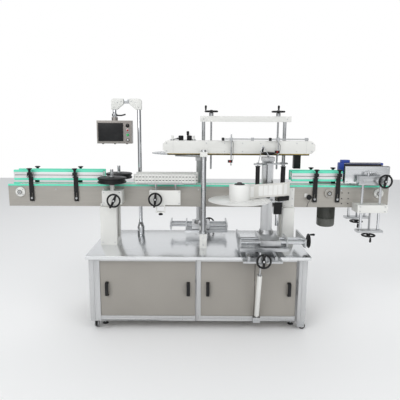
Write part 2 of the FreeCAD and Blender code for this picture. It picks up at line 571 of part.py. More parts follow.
def stands():
    parts = []
    for side, wide, up in ((-1, "inlet_stand_wide", "inlet_cheek_up"), (1, "outlet_stand_wide", "outlet_cheek_up")):
        low = f"{side} * stand_mid - {wide} / 2"
        tall = "plate_low - table_height"
        box = block((wide, "stand_deep", tall), (low, "0 - stand_deep / 2", "table_height"))
        hollow = block((f"{wide} - 2 * cheek_gauge", "stand_deep - 2 * cheek_gauge",
                        f"{tall} - 2 * cheek_gauge"),
                       (f"{low} + cheek_gauge", "0 - stand_deep / 2 + cheek_gauge", "table_height + cheek_gauge"))
        window = block((f"{wide} + 2 * overcut", "stand_deep * 0.5", f"{tall} * 0.6"),
                       (f"{low} - overcut", "0 - stand_deep * 0.25", "table_height + cheek_gauge * 5"))
        parts.append(cut(box, [hollow, window]))
        for face in ("0 - conveyor_wide / 2 - cheek_gauge", "conveyor_wide / 2"):
            parts.append(block((wide, "cheek_gauge", up), (low, face, "plate_low")))
    node("conveyor_stands", parts)


# Guide rails

ARM_AT = ("0 - inlet_arm_outer", "0 - inlet_arm_inner", "outlet_arm_inner", "outlet_arm_outer")
ROD_HEIGHT = "rail_low + rail_height / 2"


def mirrored(y_low, wide, side):
    """The low Y of a piece of a given width, on the front (-1) or the back (1)."""
    return y_low if side > 0 else f"0 - ({y_low}) - ({wide})"


def rail_brackets():
    parts = []
    for x in ARM_AT:
        for side in (-1, 1):
            face = "conveyor_wide / 2 + wear_gauge"
            top = f"{ROD_HEIGHT} - clamp_side / 2"
            arm = block(("arm_wide", "arm_thick", f"{top} - arm_low"),
                        (f"{x} - arm_wide / 2", mirrored(face, "arm_thick", side), "arm_low"))
            slot = block(("arm_slot", "arm_thick + 2 * overcut", "arm_wide * 1.6"),
                         (f"{x} - arm_slot / 2", mirrored(f"{face} - overcut", "arm_thick + 2 * overcut", side),
                          "arm_low + arm_slot * 1.5"))
            pad = block(("arm_wide * 0.8", "wear_gauge", "arm_wide * 1.2"),
                        (f"{x} - arm_wide * 0.4", mirrored("conveyor_wide / 2", "wear_gauge", side),
                         "arm_low + arm_slot * 8"))
            lean = block(("arm_wide * 0.7", "clamp_out - arm_thick * 0.5", "clamp_side * 0.5"),
                         (f"{x} - arm_wide * 0.35", mirrored(face, "clamp_out - arm_thick * 0.5", side),
                          top))
            clamp = block(("clamp_side", "clamp_side", "clamp_side * 1.3"),
                          (f"{x} - clamp_side / 2",
                           mirrored(f"{face} + clamp_out - clamp_side", "clamp_side", side),
                           f"{ROD_HEIGHT} - clamp_side * 0.5"))
            bore = round_bar("rail_rod_dia + 2 * running_gap", "clamp_out * 3",
                             (x, f"{side} * ({face} - clamp_out)", ROD_HEIGHT), "+Y" if side > 0 else "-Y")
            knob = clamp_knob((x, f"{side} * ({face} + clamp_out - clamp_side / 2)",
                               f"{ROD_HEIGHT} + clamp_side * 0.8"))
            parts.append(cut(fuse([arm, pad, lean, clamp]), [bore, slot]))
            parts.append(knob)
    node("rail_brackets", parts)


def guide_rails():
    for name, side in (("guide_rail_front", -1), ("guide_rail_rear", 1)):
        parts = []
        for start, length in (("0 - inlet_rail_start", "inlet_rail_start - inlet_rail_end"),
                              ("outlet_rail_start", "outlet_rail_end - outlet_rail_start")):
            face = "product_gap / 2"
            web = block((length, "rail_thick - bead_thick", "rail_height - 2 * bead_height"),
                        (start, mirrored(f"{face} + bead_thick", "rail_thick - bead_thick", side),
                         "rail_low + bead_height"))
            groove = block((f"{length} + 2 * overcut", "slot_depth", "slot_wide"),
                           (f"{start} - overcut", mirrored(f"{face} + rail_thick - slot_depth", "slot_depth", side),
                            f"{ROD_HEIGHT} + bead_height * 0.5"))
            parts.append(cut(web, [groove]))
            for level in ("rail_low", "rail_low + rail_height - bead_height"):
                outline = [(f"{side} * ({a})", b) for a, b in (
                    ("0", "0"), ("rail_thick", "0"), ("rail_thick", "bead_height"), ("0", "bead_height"),
                    ("0 - bead_thick * 0.35", "bead_height * 0.75"), ("0 - bead_thick * 0.35", "bead_height * 0.25"))]
                bead = padded(outline, length, ORIGIN)
                parts.append(put(bead, (start, f"{side} * ({face})", level), "along"))
        for x in ARM_AT:
            parts.append(round_bar("rail_rod_dia", "rail_rod_len",
                                   (x, f"{side} * (product_gap / 2 + rail_thick)", ROD_HEIGHT),
                                   "+Y" if side > 0 else "-Y"))
        node(name, parts)


# Infeed devices: the bottle separator and the two guide chains

SEPARATOR_FACE = "separator_out + separator_tube / 2 + separator_wall"
SEPARATOR_SCREW = "0 - separator_at + separator_screw_off"


def separator():
    fixed = []
    for name, side in (("separator_wheel_front", -1), ("separator_wheel_rear", 1)):
        x = "0 - separator_at"
        y = f"{side} * separator_out"
        top = "separator_box_low + separator_box_high"
        deep = f"{SEPARATOR_FACE} - conveyor_wide / 2"
        box = block(("separator_box_wide", deep, "separator_box_high"),
                    (f"{x} - separator_box_wide / 2", mirrored("conveyor_wide / 2", deep, side),
                     "separator_box_low"))
        tube = round_bar("separator_tube", f"separator_low - separator_boss - ({top})", (x, y, top))
        tools = [round_bar("separator_axle + 2 * running_gap", "separator_low - separator_box_low",
                           (x, y, "separator_box_low + cheek_gauge * 2"))]
        if side < 0:
            tools.append(round_bar("screw_dia + 2 * running_gap", "screw_pitch * 6",
                                   (SEPARATOR_SCREW, f"0 - ({SEPARATOR_FACE}) - overcut",
                                    "separator_wheel_height"), "+Y"))
        fixed.append(cut(fuse([box, tube]), tools))
        top = "separator_boss + separator_thick"
        wheel = turned([("0", "0"), ("separator_hub / 2", "0"), ("separator_hub / 2", "separator_boss"),
                        ("separator_dia * 0.47", "separator_boss"),
                        ("separator_dia / 2", "separator_boss + separator_thick * 0.12"),
                        ("separator_dia / 2", "separator_boss + separator_thick * 0.3"),
                        ("separator_dia / 2 - separator_groove", "separator_boss + separator_thick * 0.5"),
                        ("separator_dia / 2", "separator_boss + separator_thick * 0.7"),
                        ("separator_dia / 2", "separator_boss + separator_thick * 0.88"),
                        ("separator_dia * 0.47", top), ("separator_axle * 0.8", top),
                        ("separator_axle * 0.8", f"{top} + separator_nut"),
                        ("separator_axle / 2", f"{top} + separator_nut"),
                        ("separator_axle / 2", f"{top} + separator_stub"), ("0", f"{top} + separator_stub")],
                       (x, y, "separator_low - separator_boss + slack_gap"))
        axle = round_bar("separator_axle",
                         "separator_low - separator_box_low - cheek_gauge * 2 - separator_boss + overcut",
                         (x, y, "separator_box_low + cheek_gauge * 2 + slack_gap"))
        node(name, [fuse([wheel, axle])])
    node("separator_handwheel",
         [handwheel((SEPARATOR_SCREW, "0 - separator_wheel_out", "separator_wheel_height"), "-Y",
                    f"separator_wheel_out - ({SEPARATOR_FACE}) + screw_pitch * 5", 246)])
    return fixed


LANE_RUN = "(lane_len / 2 - lane_wide / 2)"


def lane_carrier(side):
    """The belt-like guide chain and the carrier that holds it on two cross bars."""
    mid = f"{side} * (lane_gap / 2 + lane_wide / 2)"
    body = block((f"2 * {LANE_RUN}", "lane_wide", "lane_height"),
                 (f"0 - lane_mid - {LANE_RUN}", f"{mid} - lane_wide / 2", "lane_low"))
    ends = [round_bar("lane_wide", "lane_height", (f"0 - lane_mid + {sign} * {LANE_RUN}", mid, "lane_low"))
            for sign in (-1, 1)]
    links = int((SIZES["lane_len"] - SIZES["lane_wide"]) / SIZES["lane_link"])
    notch = "slot_depth * 0.6"
    tools = []
    for k in range(links + 1):
        x = f"0 - lane_mid - {LANE_RUN} + {k} * lane_link - slot_depth / 4"
        for y in (f"{mid} - lane_wide / 2 - overcut", f"{mid} + lane_wide / 2 - {notch}"):
            tools.append(block(("slot_depth / 2", f"{notch} + overcut", "lane_height + 2 * overcut"),
                               (x, y, "lane_low - overcut")))
    chain = cut(fuse([body] + ends), tools)

    plate = block((f"2 * {LANE_RUN}", "lane_wide * 0.4", "arm_gauge"),
                  (f"0 - lane_mid - {LANE_RUN}", f"{mid} - lane_wide * 0.2", "lane_low - arm_gauge"))
    block_mid = f"{side} * lane_block_out"
    rods = [round_bar("lane_rod_dia", "lane_low - arm_gauge - lane_wheel_height",
                      (f"0 - lane_mid + {sign} * lane_plate_wide * 0.32", block_mid, "lane_wheel_height"))
            for sign in (-1, 1)]
    reach = "lane_block_out - lane_gap / 2 - lane_wide * 0.3 + lane_rod_dia / 2"
    ledge = block((f"1.2 * {LANE_RUN}", reach, "arm_gauge"),
                  (f"0 - lane_mid - 0.6 * {LANE_RUN}", mirrored("lane_gap / 2 + lane_wide * 0.3", reach, side),
                   "lane_low - arm_gauge"))
    bridge = block(("lane_plate_wide * 0.8", "lane_block_deep", "lane_bar_dia * 2"),
                   ("0 - lane_mid - lane_plate_wide * 0.4", f"{block_mid} - lane_block_deep / 2",
                    "lane_wheel_height - lane_bar_dia"))
    near = f"{block_mid} - lane_block_deep / 2 - overcut"
    through = "lane_block_deep + 2 * overcut"
    bores = [round_bar("lane_bar_dia + 2 * running_gap", through, (x, near, "lane_wheel_height"), "+Y")
             for x in LANE_BARS]
    if side < 0:
        bores.append(round_bar("screw_dia + 2 * running_gap", through,
                               ("0 - lane_wheel_at", near, "lane_wheel_height"), "+Y"))
    return [chain, cut(fuse([plate, ledge, bridge] + rods), bores)]


LANE_BARS = ("0 - lane_mid - lane_plate_wide * 0.22", "0 - lane_mid + lane_plate_wide * 0.22")


def lane_chains():
    node("guide_chain_front", lane_carrier(-1))
    node("guide_chain_rear", lane_carrier(1))
    fixed = []
    for side in (-1, 1):
        bars = [round_bar("lane_bar_dia", "lane_plate_out - conveyor_wide / 2",
                          (x, f"{side} * conveyor_wide / 2", "lane_wheel_height"), "+Y" if side > 0 else "-Y")
                for x in LANE_BARS]
        end = block(("lane_plate_wide", "cheek_gauge", "lane_plate_high"),
                    ("0 - lane_mid - lane_plate_wide / 2", mirrored("lane_plate_out", "cheek_gauge", side),
                     "lane_plate_low"))
        if side > 0:
            fixed.append(fuse([end] + bars))
            continue
        prong = "lane_plate_wide * 0.3"
        face = "0 - lane_plate_out - cheek_gauge"
        yoke = block((prong, "cheek_gauge * 3", "lane_plate_high * 0.55"),
                     (f"0 - lane_mid - {prong}", face, "lane_plate_low - lane_plate_high * 0.55"))
        window = block((f"{prong} - 2 * cheek_gauge", "cheek_gauge * 3 + 2 * overcut", "lane_plate_high * 0.4"),
                       (f"0 - lane_mid - {prong} + cheek_gauge", f"{face} - overcut",
                        "lane_plate_low - lane_plate_high * 0.46"))
        hole = round_bar("screw_dia + 2 * running_gap", "cheek_gauge + 2 * overcut",
                         ("0 - lane_wheel_at", f"{face} - overcut", "lane_wheel_height"), "+Y")
        fixed.append(cut(fuse([end, yoke] + bars), [window, hole]))
        fixed.append(clamp_knob((f"0 - lane_mid - {prong} / 2", "0 - lane_plate_out + cheek_gauge / 2",
                                 "lane_plate_low - lane_plate_high * 0.55"), "-Z"))
    node("guide_chain_handwheel",
         [handwheel(("0 - lane_wheel_at", "0 - lane_plate_out - cheek_gauge - wheel_rim * 2",
                     "lane_wheel_height"), "-Y",
                    "lane_plate_out - lane_block_out + lane_block_deep / 2 + wheel_rim * 2", 265)])
    return fixed


# Gantry and overhead press

def gantry():
    parts = []
    for x, y, top in (("gantry_left", "column_out", "rear_column_top"),
                      ("gantry_right", "column_out", "rear_column_top"),
                      ("gantry_left", "0 - front_column_out", "front_column_top")):
        foot = block(("column_block", "column_block", "column_block_high"),
                     (f"{x} - column_block / 2", f"{y} - column_block / 2", "table_height"))
        column = round_bar("column_dia", f"{top} - table_height - column_block_high",
                           (x, y, "table_height + column_block_high"))
        parts.append(fuse([foot, column]))
    beam_y = "lift_back - lift_rod_dia / 2"
    beam = block(("beam_right - beam_left", "beam_deep", "beam_high"), ("beam_left", beam_y, "beam_low"))
    hollow = block(("lift_right - lift_left - wheel_dia", "beam_deep + 2 * overcut", "beam_high - 2 * cheek_gauge"),
                   ("lift_left + wheel_dia / 2", f"{beam_y} - overcut", "beam_low + cheek_gauge"))
    holes = [round_bar("screw_dia + 2 * running_gap", "beam_high + 2 * overcut",
                       (x, "lift_back", "beam_low - overcut")) for x in ("lift_left", "lift_right")]
    rods = [round_bar("lift_rod_dia", "beam_low - rear_column_top", (x, "column_out", "rear_column_top"))
            for x in ("gantry_left", "gantry_right")]
    node("gantry_frame", [fuse(parts + rods + [cut(beam, [hollow] + holes)])])
    wheel_level = "beam_low + beam_high + lift_wheel_up"
    screw_len = f"{wheel_level} - press_low + lift_screw_below"
    for name, x, spin in (("lift_handwheel_left", "lift_left", 200), ("lift_handwheel_right", "lift_right", 262)):
        wheel = handwheel((x, "lift_back", wheel_level), "+Z", screw_len, spin)
        collar = round_bar("wheel_hub * 1.3", "lift_wheel_up - wheel_rim * 0.8 - slack_gap",
                           (x, "lift_back", "beam_low + beam_high + slack_gap"))
        node(name, [fuse([wheel, collar])])


def press():
    mid = "(press_right - press_left) / 2"
    half = "(press_right + press_left) / 2"
    low = "press_low"
    top = "press_low + press_height"
    corner = "press_corner"
    outline = [(f"0 - {half}", f"{low} + {corner}"), (f"0 - {half} + {corner}", low),
               (f"{half} - {corner}", low), (half, f"{low} + {corner}"), (half, f"{top} - {corner}"),
               (f"{half} - {corner}", top), (f"0 - {half} + {corner}", top), (f"0 - {half}", f"{top} - {corner}")]
    shell = put(padded(outline, "press_deep", ORIGIN, both_ways=True), (mid, "0", "0"), "upright")
    ear_x = "press_ear / 2"
    ears = [block(("press_ear", "column_out - press_deep / 2 + press_ear / 2", "ear_high"),
                  (f"{x} - {ear_x}", "press_deep / 2", f"{low} + cheek_gauge"))
            for x in ("gantry_left", "gantry_right")]
    reach = "front_column_out - press_deep / 2 + press_ear / 2"
    ears.append(block(("press_ear", reach, "ear_high"),
                      (f"gantry_left - {ear_x}", f"0 - press_deep / 2 - ({reach})", f"{low} - ear_high / 2")))
    ears.append(block(("press_ear", "ear_high", "ear_high"),
                      (f"gantry_left - {ear_x}", "0 - press_deep / 2 - ear_high", low)))
    tools = [round_bar("lift_rod_dia + 2 * running_gap", "ear_high + 2 * overcut",
                       (x, "column_out", f"{low} + cheek_gauge - overcut")) for x in ("gantry_left", "gantry_right")]
    tools.append(round_bar("column_dia + 2 * running_gap", "ear_high + 2 * overcut",
                           ("gantry_left", "0 - front_column_out", f"{low} - ear_high / 2 - overcut")))
    tools += [round_bar("screw_dia + 2 * running_gap", "press_height + 2 * overcut",
                        (x, "lift_back", f"{low} - overcut")) for x in ("lift_left", "lift_right")]
    posts = [round_bar("post_dia", "post_high", (f"0 - {x}", "0", top)) for x in ("post_left", "post_right")]
    stem = round_bar("post_dia * 0.7", "post_high * 1.4", ("0 - knob_right", "0", top))
    shelf = block(("press_motor_side * 1.5", "press_motor_side + slack_gap", "ear_high"),
                  ("press_motor_at - press_motor_side * 0.75", "press_deep / 2", f"{low} + cheek_gauge"))
    motor = block(("press_motor_side", "press_motor_side", "press_motor_len"),
                  ("press_motor_at - press_motor_side / 2", "press_deep / 2 + slack_gap",
                   f"{low} + cheek_gauge - press_motor_len"))
    knobs = [clamp_knob(("0 - knob_left", "0", top)),
             clamp_knob(("0 - knob_right", "0", f"{top} + post_high * 1.4"))]
    node("press_housing", [cut(fuse([shell, stem, shelf, motor] + ears + posts), tools)] + knobs)

    belt_half = f"({half} - belt_inset - belt_wide / 2)"
    loop = block((f"2 * {belt_half}", "belt_wide", "belt_thick"),
                 (f"{mid} - {belt_half}", "0 - belt_wide / 2", f"{low} - belt_thick"))
    ends = [round_bar("belt_wide", "belt_thick", (f"{mid} + {sign} * {belt_half}", "0", f"{low} - belt_thick"))
            for sign in (-1, 1)]
    node("press_belt", [fuse([loop] + ends)])


def sensors():
    level = "press_low + press_height + sensor_bar_lift"
    y = "0 - sensor_out"
    rail_y = "0 - press_deep / 2 + sensor_side"
    parts = [round_bar("sensor_bar_dia", "sensor_bar_right - sensor_bar_left",
                       ("sensor_bar_left", rail_y, level), "+X")]
    for x in ("sensor_grip_left", "sensor_grip_right"):
        parts.append(block(("sensor_side", "sensor_side", "sensor_bar_lift + sensor_side / 2"),
                           (f"{x} - sensor_side / 2", f"{rail_y} - sensor_side / 2",
                            "press_low + press_height")))
    for x, top, low in (("sensor_left", "sensor_left_top", "sensor_left_low"),
                        ("sensor_right", "sensor_right_top", "sensor_right_low")):
        parts += [
            round_bar("sensor_bar_dia", f"{top} - {low}", (x, y, low)),
            block(("sensor_side", f"sensor_out + {rail_y} + sensor_side", "sensor_side"),
                  (f"{x} - sensor_side / 2", f"{y} - sensor_side / 2", f"{level} - sensor_side / 2")),
            block(("sensor_side * 1.6", "sensor_side", "sensor_side * 0.9"),
                  (f"{x} - sensor_side * 1.1", f"{y} - sensor_side / 2", f"{low} + sensor_side")),
            round_bar("sensor_bar_dia * 0.8", "sensor_side * 2.4", (f"{x} - sensor_side * 2.4", y, level), "+X"),
            round_bar("sensor_side", "sensor_side", (f"{x} - sensor_side * 3.4", y, level), "+X")]
    node("sensor_brackets", [fuse(parts)])


# Screen post and control box

def screen_post():
    x = "0 - screen_post_at"
    y = "screen_post_back"
    foot = turned([("0", "0"), ("screen_foot_dia / 2", "0"), ("screen_foot_dia / 2", "screen_foot_high"),
                   ("screen_post_dia / 2", "screen_foot_high + screen_cone_high"),
                   ("0", "screen_foot_high + screen_cone_high")], (x, y, "table_height"))
    post = round_bar("screen_post_dia", "elbow_low - table_height - screen_foot_high",
                     (x, y, "table_height + screen_foot_high"))
    parts = [foot, post]
    edge = "elbow_deep / 2"
    for corner, sign in ((x, 1), ("0 - neck_at", -1)):
        outline = [(f"{sign} * {edge}", "0"), (f"{sign} * {edge}", "elbow_high * 0.5"),
                   (f"{sign} * ({edge} - elbow_high * 0.5)", "elbow_high"),
                   (f"{sign} * ({edge} - elbow_long)", "elbow_high"),
                   (f"{sign} * ({edge} - elbow_long)", "elbow_high * 0.5"), (f"0 - {sign} * {edge}", "0")]
        elbow = padded(outline, "elbow_deep", ORIGIN, both_ways=True)
        parts.append(put(elbow, (corner, y, "elbow_low"), "upright"))
    parts.append(block(("neck_at - screen_post_at - 2 * elbow_long + elbow_deep", "arm_bar", "elbow_high * 0.4"),
                       ("0 - neck_at + elbow_long - elbow_deep / 2", f"{y} - arm_bar / 2",
                        "elbow_low + elbow_high * 0.55")))
    parts += [round_bar("neck_dia", "elbow_low - box_low - box_high - slack_gap",
                        ("0 - neck_at", y, "box_low + box_high + slack_gap")),
              round_bar("neck_dia * 1.5", "neck_dia * 0.8", ("0 - neck_at", y, "elbow_low - neck_dia * 1.9")),
              round_bar("neck_dia * 0.4", "neck_dia * 3", ("0 - neck_at", y, "elbow_low - neck_dia * 1.5"), "+X")]
    node("screen_post", [fuse(parts)])


def control_box():
    y = "screen_post_back"
    left = "0 - neck_at - box_wide / 2"
    face = f"{y} - box_deep / 2"
    top = "box_low + box_high"
    shell = block(("box_wide", "box_deep", "box_high"), (left, face, "box_low"))
    ring = round_bar("neck_dia * 1.7", "neck_dia * 0.9", ("0 - neck_at", y, top))
    seat = round_bar("neck_dia + 2 * running_gap", "neck_dia", ("0 - neck_at", y, top))
    bezel_left = f"{left} + box_corner * 1.5"
    bezel_low = "box_low + (box_high - screen_high) / 2"
    bezel = block(("screen_wide", "bezel_gauge", "screen_high"), (bezel_left, f"{face} - bezel_gauge", bezel_low))
    well = block(("screen_wide * 0.84", "bezel_gauge * 0.4 + overcut", "screen_high * 0.8"),
                 (f"{bezel_left} + screen_wide * 0.08", f"{face} - bezel_gauge - overcut",
                  f"{bezel_low} + screen_high * 0.1"))
    control_x = f"{left} + box_wide - control_at"
    switch_z, lamp_z, button_z, meter_z = [f"box_low + box_high * {share}" for share in (0.78, 0.58, 0.38, 0.16)]
    lamp = round_bar("button_dia * 0.8", "button_out * 0.6", (control_x, face, lamp_z), "-Y")
    meter = round_bar("button_dia", "button_out * 0.8", (control_x, face, meter_z), "-Y")
    wells = [round_bar(f"{dia} + 2 * running_gap", "box_deep / 2", (control_x, f"{face} - overcut", z), "+Y")
             for dia, z in (("switch_dia * 0.5", switch_z), ("button_dia * 0.7", button_z))]
    node("control_box", [cut(fuse([shell, ring, bezel, lamp, meter]), [seat, well] + wells)])

    knob_y = f"{face} - slack_gap"
    node("main_switch", [fuse([
        round_bar("switch_dia", "button_out", (control_x, knob_y, switch_z), "-Y"),
        block(("switch_dia * 0.28", "button_out + overcut", "switch_dia * 0.9"),
              (f"{control_x} - switch_dia * 0.14", f"{knob_y} - button_out * 2",
               f"{switch_z} - switch_dia * 0.45")),
        round_bar("switch_dia * 0.5", "button_out * 2", (control_x, knob_y, switch_z), "+Y")])])
    cap_y = f"{face} - button_travel - slack_gap"
    node("start_button", [fuse([round_bar("button_dia", "button_out", (control_x, cap_y, button_z), "-Y"),
                                round_bar("button_dia * 0.7", "button_out * 2", (control_x, cap_y, button_z),
                                          "+Y")])])


# Label heads: a slide across the table, a slide along it, a column and the head on the column

SCREW_LEVEL = "table_height + base_gauge + way_high / 2"
SADDLE_LOW = "table_height + base_gauge + way_high + slack_gap"
SCREW_BORE = "screw_dia + 2 * running_gap"


def head_x(mid, flip, x):
    return f"{mid} + {flip} * ({x} - head_at)"


def span_x(mid, flip, x, wide):
    """The low X of a piece, kept right when a head is turned end for end."""
    return head_x(mid, flip, x) if flip > 0 else head_x(mid, flip, f"({x}) + ({wide})")


def slide_base(mid, side, inner):
    out = "+Y" if side > 0 else "-Y"
    plate = block(("head_base_wide", f"head_base_out - {inner}", "base_gauge"),
                  (f"{mid} - head_base_wide / 2", mirrored(inner, f"head_base_out - {inner}", side),
                   "table_height"))
    way_len = f"head_base_out - {inner} - base_end * 1.2"
    ways = [block(("way_wide", way_len, "way_high"),
                  (f"{mid} + {offset} * way_offset - way_wide / 2", mirrored(inner, way_len, side),
                   "table_height + base_gauge")) for offset in (-1, 1)]
    end = block(("column_block", "base_end", "way_high * 1.6"),
                (f"{mid} - column_block / 2", mirrored("head_base_out - base_end", "base_end", side),
                 "table_height + base_gauge"))
    bore = round_bar(SCREW_BORE, "base_end + 2 * overcut",
                     (mid, f"{side} * (head_base_out - base_end - overcut)", SCREW_LEVEL), out)
    return cut(fuse([plate, end] + ways), [bore])


def saddle(mid, side, flip, plate_in, middle):
    """The slide across the table, with the two cross rods and end plates it carries."""
    out = "+Y" if side > 0 else "-Y"
    wide = "saddle_right - cross_left"
    deck = block((wide, "saddle_long", "saddle_thick"),
                 (span_x(mid, flip, "cross_left", wide),
                  mirrored(f"{middle} - saddle_long / 2", "saddle_long", side), SADDLE_LOW))
    nut = block(("screw_dia * 2", "saddle_long * 0.3", "way_high"),
                (f"{mid} - screw_dia", mirrored(f"{middle} - saddle_long * 0.15", "saddle_long * 0.3", side),
                 "table_height + base_gauge + slack_gap"))
    bore = round_bar(SCREW_BORE, "saddle_long + 2 * overcut",
                     (mid, f"{side} * ({middle} - saddle_long / 2 - overcut)", SCREW_LEVEL), out)
    low = "cross_height - cross_plate_high / 2"
    deep = f"cross_plate_out - {plate_in}"
    plates = [block(("cross_plate", deep, "cross_plate_high"),
                    (span_x(mid, flip, x, "cross_plate"), mirrored(plate_in, deep, side), low))
              for x in ("cross_left", "cross_right - cross_plate")]
    riser_deep = "cross_rod_gap + cross_rod_dia * 2"
    riser = block(("cross_plate", riser_deep, "cross_plate_high"),
                  (span_x(mid, flip, "saddle_right - cross_plate", "cross_plate"),
                   mirrored("cross_rod_mid - cross_rod_gap / 2 - cross_rod_dia", riser_deep, side), low))
    rod_x = span_x(mid, flip, "cross_left", "cross_right - cross_left")
    rods = [round_bar("cross_rod_dia", "cross_right - cross_left",
                      (rod_x, f"{side} * (cross_rod_mid + {sign} * cross_rod_gap / 2)", "cross_height"), "+X")
            for sign in (-1, 1)]
    screw_hole = round_bar(SCREW_BORE, "cross_right - cross_left + 2 * overcut",
                           (f"{rod_x} - overcut", f"{side} * cross_rod_mid", "cross_height"), "+X")
    return cut(fuse([deck, nut, riser] + plates + rods), [bore, screw_hole])


def carriage(mid, side, flip, plate_in, column_out, column_top):
    """The slide along the table, with the flanged column and its cap."""
    x_low = span_x(mid, flip, "head_column_at - carriage_wide / 2", "carriage_wide")
    holes = [round_bar("cross_rod_dia + 2 * running_gap", "carriage_wide + 2 * overcut",
                       (f"{x_low} - overcut", f"{side} * (cross_rod_mid + {sign} * cross_rod_gap / 2)",
                        "cross_height"), "+X") for sign in (-1, 1)]
    holes.append(round_bar(SCREW_BORE, "carriage_wide + 2 * overcut",
                           (f"{x_low} - overcut", f"{side} * cross_rod_mid", "cross_height"), "+X"))
    deep = f"cross_plate_out - {plate_in}"
    body = block(("carriage_wide", deep, "carriage_high"),
                 (x_low, mirrored(plate_in, deep, side), "cross_height - carriage_high / 2"))
    x = head_x(mid, flip, "head_column_at")
    y = f"{side} * {column_out}"
    base = "cross_height + carriage_high / 2"
    flange = cone("head_flange_dia", "head_column_side * 1.3", "head_flange_high", (x, y, base))
    column = slotted_bar(f"{column_top} - ({base})", "head_column_side", "head_column_side",
                         (f"{x} - head_column_side / 2", f"{y} - head_column_side / 2", base), "Z")
    cap = block(("head_column_side * 1.2", "head_column_side * 1.2", "head_cap"),
                (f"{x} - head_column_side * 0.6", f"{y} - head_column_side * 0.6", column_top))
    return cut(fuse([body, flange, column, cap]), holes)


def reel(x, y, level):
    hub_top = "reel_gauge + roll_high + reel_rise"
    mandrel = turned([("spindle_dia / 2 + running_gap", "0 - base_gauge"), ("spindle_dia", "0 - base_gauge"),
                      ("spindle_dia", "0"), ("reel_dia / 2", "0"), ("reel_dia / 2", "reel_gauge"),
                      ("roll_core / 2", "reel_gauge"), ("roll_core / 2", hub_top),
                      ("spindle_dia / 2 + running_gap", hub_top)], (x, y, level))
    roll = turned([("roll_core / 2", "0"), ("roll_dia / 2", "0"), ("roll_dia / 2", "roll_high"),
                   ("roll_core / 2", "roll_high")], (x, y, f"{level} + reel_gauge"))
    return [mandrel, roll]


def reel_pin(x, y, level):
    length = "reel_gauge + roll_high + base_gauge + slack_gap + reel_rise * 2"
    return round_bar("spindle_dia", length, (x, y, level))


def base_strut():
    """The sloping strut that carries the front slide from the foot of the cabinet."""
    low_y = "cabinet_deep / 2 + strut_foot / 4"
    low_z = "cabinet_clear + profile / 2"
    run_y = f"(head_base_out - strut_foot / 2 - ({low_y}))"
    run_z = f"(table_height - base_gauge / 2 - ({low_z}))"
    bars = []
    for dia, start, share in (("strut_rod_dia", 0, 1), ("strut_dia", 0.08, 0.72)):
        bar = doc.addObject("Part::Cylinder", fresh("strut"))
        bar.setExpression("Radius", bound(f"{dia} / 2"))
        bar.setExpression("Height", bound(f"{share} * sqrt({run_y} ^ 2 + {run_z} ^ 2)"))
        bar.Placement = FreeCAD.Placement(V(0, 0, 0), FreeCAD.Rotation(V(1, 0, 0), 10))
        bar.setExpression("Placement.Rotation.Angle", bound(f"atan2({run_y}; {run_z})"))
        bar.setExpression("Placement.Base.x", bound("strut_at"))
        bar.setExpression("Placement.Base.y", bound(f"0 - ({low_y}) - {start} * {run_y}"))
        bar.setExpression("Placement.Base.z", bound(f"{low_z} + {start} * {run_z}"))
        bars.append(bar)
    foot = block(("strut_foot", "strut_foot / 2", "profile"),
                 ("strut_at - strut_foot / 2", "0 - cabinet_deep / 2 - strut_foot / 2", "cabinet_clear"))
    lug = block(("strut_foot", "strut_foot", "base_gauge"),
                ("strut_at - strut_foot / 2", "0 - head_base_out", "table_height - base_gauge"))
    return [foot, lug] + bars


